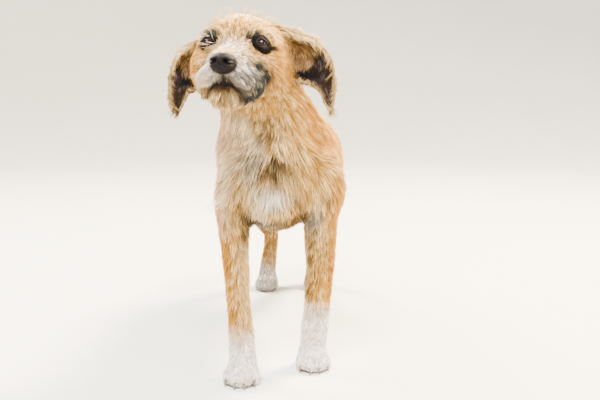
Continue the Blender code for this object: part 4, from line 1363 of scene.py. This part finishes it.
def build_nose(material):
    """The nose leather, with flared comma nostrils, a middle groove and a pebbled surface."""
    forms = [
        ((0, 0, 0.002), (0.0150, 0.0130, 0.0093)),
        ((0, 0.001, -0.006), (0.0094, 0.0118, 0.0070)),
        ((0.0070, -0.001, -0.002), (0.0080, 0.0118, 0.0066)),
        ((-0.0070, -0.001, -0.002), (0.0080, 0.0118, 0.0066)),
    ]
    bm = bmesh.new()
    for offset, radii in forms:
        place = Matrix.Translation(Vector(NOSE) + Vector(offset)) @ Matrix.Diagonal((*radii, 1.0))
        bmesh.ops.create_uvsphere(bm, u_segments=40, v_segments=24, radius=1.0, matrix=place)
    mesh = with_modifier(mesh_from_bmesh(bm, "nose"), "REMESH", mode="VOXEL", voxel_size=NOSE_VOXEL)
    ends = edge_ends(mesh)
    co = smoothed(positions(mesh), ends, 10)
    set_positions(mesh, co)
    normals = vertex_normals(mesh)
    # the nose's middle line lies a little to the dog's right
    aside, z = co[:, 0] - NOSE[0] + 0.9 * MM, co[:, 2] - NOSE[2]
    dent = np.zeros(len(co))
    facing = step(-normals[:, 1], 0.0, 0.4)
    for side in (1, -1):
        x = aside * side
        hole = np.exp(-(((x - 0.0070) / 0.0035) ** 2 + ((z - 0.0004) / 0.0036) ** 2))
        curve = -0.0026 + 0.10 * (x - 0.0110)
        slit = np.exp(-(((x - 0.0118) / 0.0036) ** 2 + ((z - curve) / 0.0013) ** 2))
        dent += 4.2 * MM * hole * facing + 2.2 * MM * slit
    groove = bell(aside, 0.0008) * step(z, 0.003, -0.003) * facing
    dent += 0.9 * MM * groove
    pebble = lattice_noise(co, 0.8 * MM, 31)
    co = co - normals * (dent + 0.06 * MM * pebble)[:, None]
    # the nostrils' depth, for their painted shade and their roughness
    add_values(mesh, "deep", step(dent, 0.5 * MM, 2.2 * MM))
    co = smoothed(co, ends, 1)
    set_positions(mesh, from_head(co))
    smooth_faces(mesh)
    return object_from("nose_leather", mesh, material)


def build_lips(tree, material):
    """The dark edges of the lips, laid in the groove of the mouth."""
    points, radii = [], []
    for t in np.linspace(-1, 1, 45):
        x = 0.0265 * t
        start = from_head(np.array((x * 1.02, -0.150, mouth_height(x))))
        back = Vector(head_direction(np.array((-0.10 * t, 1.0, 0.0)))).normalized()
        place = tree.ray_cast(Vector(start), back)[0]
        if place is None:
            continue
        points.append(tuple(place - back * 1.3 * MM))
        radii.append(3.2 * MM * (1 - 0.72 * abs(t) ** 1.2))
    return object_from("lip_edges", tube(points, radii), material)


def build_claws(material):
    """The claws' own solids, rounded: each with its node."""
    made = []
    for node in sorted(n for n in NODES if n.startswith("claw")):
        mesh = mesh_from_bmesh(joined_solid(node), node)
        smooth_faces(mesh)
        mesh = with_modifier(mesh, "SUBSURF", levels=2, render_levels=2)
        mesh.materials.clear()
        made.append((object_from(node.replace("claw", "nail"), mesh, material), node))
    return made


# ---------------------------------------------------------------- all together


def skin_fields(mesh):
    """What the coat needs at each vertex, its density, the ears' fringe and the skin's own marks."""
    co, ends, normals = positions(mesh), edge_ends(mesh), vertex_normals(mesh)
    kinds = spread(nearest_kinds(co), ends, 8, 0.6)
    plan, way, rim = hair_plan(co, normals, kinds)
    # where the coat's direction runs into the skin it is short there, and its neighbours lead it
    for _ in range(16):
        way = spread(laid(way, normals), ends, 1)
    way = unit(laid(way, normals))
    bare = markings(co, normals, kinds, rim)
    density = plan[:, DENSITY] * PER_MM2
    local = to_head(co)
    x, y, z = local.T
    k = columns(kinds)
    for side in SIDES.values():
        lid = from_lids(local, side)
        density *= step(lid, 1.06, 1.16)
        plan[:, LENGTH] *= 0.30 + 0.70 * step(lid, 1.15, 2.6)
    density *= step(off_nose(local), 0.90, 0.98)
    density *= 1 - step(bare["leather"], 0.35, 0.8)
    lip_gap = z - mouth_height(x)
    above_lip = k.head * step(lip_gap, -0.001, 0.0) * step(lip_gap, 0.009, 0.003)
    above_lip = above_lip * step(y, -0.080, -0.095)
    plan[:, LENGTH] *= 1 - 0.45 * above_lip * step(np.abs(x), 0.020, 0.010)
    density *= 1 - 0.25 * k.ear * np.maximum(bare["lobe"], bare["pink"])
    plan[:, LENGTH] *= 1 - 0.45 * k.ear * bare["pink"]
    reach = way * (plan[:, LENGTH] * (1 - k.ear) * MM)[:, None]
    along = [markings(co + reach * share, normals, kinds, rim) for share in MARKED]
    marks = {name: np.stack([found[name] for found in along], 1) for name in MARKS}
    marks["leather"] = np.repeat(bare["leather"][:, None], len(MARKED), axis=1)
    # how free the hair stands of the body
    free = np.maximum(0.10, 0.85 * rim)
    beard = blob(local, (0, -0.090, -0.045), (0.040, 0.035, 0.020)) * k.head
    for share, where in ((0.8, k.lower_jaw), (0.6, k.tail), (0.6, beard)):
        free = np.maximum(free, share * where)
    free = np.clip(free, 0, 1)
    fields = dict(co=co, normal=normals, way=way, plan=plan, kinds=kinds, marks=marks, free=free)
    return fields, density, rim, bare


def stray_fields(fields, rim):
    """Sparse long thin hairs that stand away from the coat: most on the crown and the edges of the ears."""
    plan = fields["plan"].copy()
    k = columns(fields["kinds"])
    local = to_head(fields["co"])
    crown = k.head * step(local[:, 2], 0.018, 0.045) * step(local[:, 1], -0.050, -0.030)
    legs = k.forearm + k.shank + k.forepaw + k.hindpaw
    trunk = 1 - legs - k.head - k.lower_jaw - k.ear
    density = 0.040 * crown + 0.21 * rim * k.ear + 0.007 * trunk + 0.016 * legs + 0.004 * k.head
    plan[:, LENGTH] = plan[:, LENGTH] * (1.05 - 0.30 * trunk) + 8.0 * crown + 2.2 * rim
    plan[:, LIFT] = 26 + 12 * crown + 14 * rim - 6 * trunk
    plan[:, WIDTH] = 0.42 + 0.14 * trunk + 0.08 * rim * k.ear
    plan[:, GATHER], plan[:, LOCK], plan[:, WAVE] = 0.70, 4, 2.6
    aside = np.clip(local[:, :1] / 0.030, -1, 1) * np.array((1.0, 0.0, 0.0))
    way = unit(fields["way"] + crown[:, None] * head_direction(1.2 * aside))
    faint = ("dark", "slate", "lobe", "taupe")
    marks = {name: value * (0.4 if name in faint else 1) for name, value in fields["marks"].items()}
    marks["cream"] = np.maximum(marks["cream"] * (1 - crown[:, None]), 0.30 * crown[:, None])
    free = np.full(len(local), 0.9)
    return dict(fields, plan=plan, way=way, marks=marks, free=free), density * PER_MM2


def veil_fields(fields):
    """The light hair that falls over the dog's right eye, and the short brow over the left."""
    plan, marks = fields["plan"].copy(), {name: value * 0 for name, value in fields["marks"].items()}
    local = to_head(fields["co"])
    way, density = np.zeros_like(local), np.zeros(len(local))
    for place, radius, direction, long, lift, thick, amount in VEILS:
        near = blob(local, place, (radius,) * 3)
        near = near * (near > 0.12)
        better = near * amount > density
        density = np.where(better, near * amount, density)
        way[better] = direction
        plan[better, LENGTH], plan[better, LIFT], plan[better, WIDTH] = long, lift, thick
    density *= step(from_lids(local, -1), 1.10, 1.20)
    plan[:, GATHER], plan[:, LOCK], plan[:, WAVE] = 0.45, 5, 0.8
    marks["white"], marks["taupe"] = marks["white"] + 0.45, marks["taupe"] + 0.25
    way, free = unit(head_direction(way + (0, 1e-6, 0))), np.full(len(local), 0.95)
    return dict(fields, plan=plan, way=way, marks=marks, free=free), density * PER_MM2


# Loose hair before the eyes: place, radius and direction in the head's axes, length in mm, lift in degrees,
# width in mm, and hairs to a mm².
VEILS = [
    ((-0.0205, -0.0575, 0.0110), 0.0060, (-0.96, 0.12, 0.13), 18.0, 12, 0.40, 0.50),
    ((-0.0360, -0.0500, 0.0265), 0.0060, (-0.55, -0.20, -0.70), 8.0, 12, 0.42, 0.30),
    ((0.0410, -0.0440, 0.0275), 0.0060, (0.45, -0.20, -0.80), 8.0, 12, 0.42, 0.30),
]

# The pieces of the coat, and the kinds of part that each lies on.
PIECES = {
    "coat_face": ("head",),
    "coat_beard": ("lower_jaw",),
    "coat_ears": ("ear",),
    "coat_neck": ("neck",),
    "coat_body": ("chest", "shoulder"),
    "coat_rump": ("hindquarters", "thigh"),
    "coat_forelegs": ("forearm", "forepaw"),
    "coat_hindlegs": ("shank", "hindpaw"),
    "coat_tail": ("tail",),
}
MOST_TRIANGLES = 190000  # to a piece of the coat


def build_coat(skin, material):
    """The pieces of the coat, and a tree of the skin for what is laid on it. The skin gets its marks too."""
    fields, density, rim, bare = skin_fields(skin.data)
    co = fields["co"]
    rnd, lock = (0.5 + 0.5 * lattice_noise(co, size * MM, seed) for size, seed in ((1.2, 2), (5, 4)))
    # the skin takes the colour of a hair's root, painted root shade included
    for name, value in dict(bare, root=co, rnd=rnd, lock=lock, along=np.full(len(co), 0.15)).items():
        add_values(skin.data, name, value)
    tree = BVHTree.FromPolygons([Vector(p) for p in co], [list(p.vertices) for p in skin.data.polygons])
    made = []

    def dress(h, rings, names):
        lines = shape_hairs(h, tree, rings)
        locks = gather(h, lines, rings)
        for name, kinds in names.items():
            mine = np.nonzero(np.isin(h.kind, [KINDS.index(k) for k in kinds]))[0]
            if not len(mine):
                continue
            mine = mine[np.argsort(h.root[mine, 0], kind="stable")]
            pieces = math.ceil(len(mine) * (6 * rings - 2) / MOST_TRIANGLES)
            for k, part in enumerate(np.array_split(mine, pieces)):
                label = f"{name}_{k + 1}" if pieces > 1 else name
                made.append(strands(label, h.part(part), lines[part], locks[part], rings, material))
                print("hairs", label, len(part))

    coat = grow(skin.data, fields, density)
    for rings in (2, 3):
        names = {name: kinds for name, kinds in PIECES.items() if COAT[kinds[0]][RINGS] == rings}
        mine = np.isin(coat.kind, [KINDS.index(k) for kinds in names.values() for k in kinds])
        dress(coat.part(mine), rings, names)
    dress(grow(skin.data, *stray_fields(fields, rim)), 3, {"coat_strays": KINDS})
    dress(grow(skin.data, *veil_fields(fields)), 3, {"coat_brows": KINDS})
    return made, tree


def build_dog():
    group = coat_colour_group()
    skin = object_from("skin", build_skin(), skin_material(group))
    unwrap(skin)
    coats, tree = build_coat(skin, coat_material(group))
    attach(skin, "root")
    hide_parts(*flesh_names())
    for coat in coats:
        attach(coat, "root")
    eye, rim = eye_material(), rim_material()
    for name, side in SIDES.items():
        ball, lid = build_eye(name, side, eye, rim)
        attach(ball, "root")
        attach(lid, "root")
        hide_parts(f"eye_{name}")
    nose = build_nose(nose_material())
    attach(nose, "root")
    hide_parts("nose")
    lips = build_lips(tree, rim)
    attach(lips, "root")
    for nail, node in build_claws(claw_material()):
        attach(nail, "root")
        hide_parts(node)


def build_stage():
    """A pale round floor that sweeps up on every side into a plain backdrop."""
    flat, bend, height = 2.2, 1.5, 5.0
    profile = [(0.02, 0.0), (1.0, 0.0), (flat, 0.0)]
    sweep = np.linspace(0.12, math.pi / 2, 12)
    profile += [(flat + bend * math.sin(a), bend - bend * math.cos(a)) for a in sweep]
    profile += [(flat + bend, height)]
    bm = bmesh.new()
    rows = []
    for reach, level in profile:
        turns = round_turns(72)
        rows.append([bm.verts.new((reach * math.cos(a), reach * math.sin(a), level)) for a in turns])
    bm.faces.new(rows[0])
    joined(bm, rows)
    material = mottled_material("floor", 0.9, 3.0, 2.0, (0.52, 0.51, 0.495), (0.55, 0.54, 0.525))[0]
    floor = object_from("floor", finished(bm, "floor"), material)


LIGHTS_AIM = (0.0, -0.1, 0.25)
# Soft round lights: name, place, size in metres, power in watts, and colour.
LIGHTS = [
    ("key", (-0.3, -1.3, 2.6), 1.0, 380, (1.0, 0.96, 0.90)),
    ("fill", (1.9, -1.4, 1.2), 1.2, 95, (1.0, 0.89, 0.70)),
    ("rim_right", (1.2, 0.7, 2.0), 0.7, 600, (1.0, 0.84, 0.56)),
    ("rim_left", (-1.3, 1.0, 1.8), 0.7, 230, (1.0, 0.92, 0.78)),
]


def build_lights():
    for name, place, size, power, colour in LIGHTS:
        light = bpy.data.lights.new(name, "AREA")
        light.shape, light.size = "DISK", size
        light.energy, light.color = power, colour
        obj = object_from(name, light)
        obj.location = place
        obj.rotation_euler = (Vector(LIGHTS_AIM) - Vector(place)).to_track_quat("-Z", "Y").to_euler()
    world = bpy.data.worlds.new("studio")
    bpy.context.scene.world = world
    world.use_nodes = True
    background = world.node_tree.nodes["Background"]
    background.inputs["Color"].default_value = (0.90, 0.93, 0.97, 1.0)
    background.inputs["Strength"].default_value = 0.28


CAMERA_FROM_NOSE = (0.0888, -0.8690, -0.0070)
CAMERA_DOWN = 9.83  # degrees


def build_camera():
    """Low in front of the dog, a little to its left, looking slightly down."""
    camera = bpy.data.cameras.new("camera")
    camera.lens, camera.sensor_width, camera.clip_start = 45.0, 36.0, 0.02
    obj = object_from("camera", camera)
    obj.location = NOSE_CENTRE + Vector(CAMERA_FROM_NOSE)
    obj.rotation_euler = (math.radians(90 - CAMERA_DOWN), 0, 0)
    bpy.context.scene.camera = obj


build_dog()
build_stage()
build_lights()
build_camera()
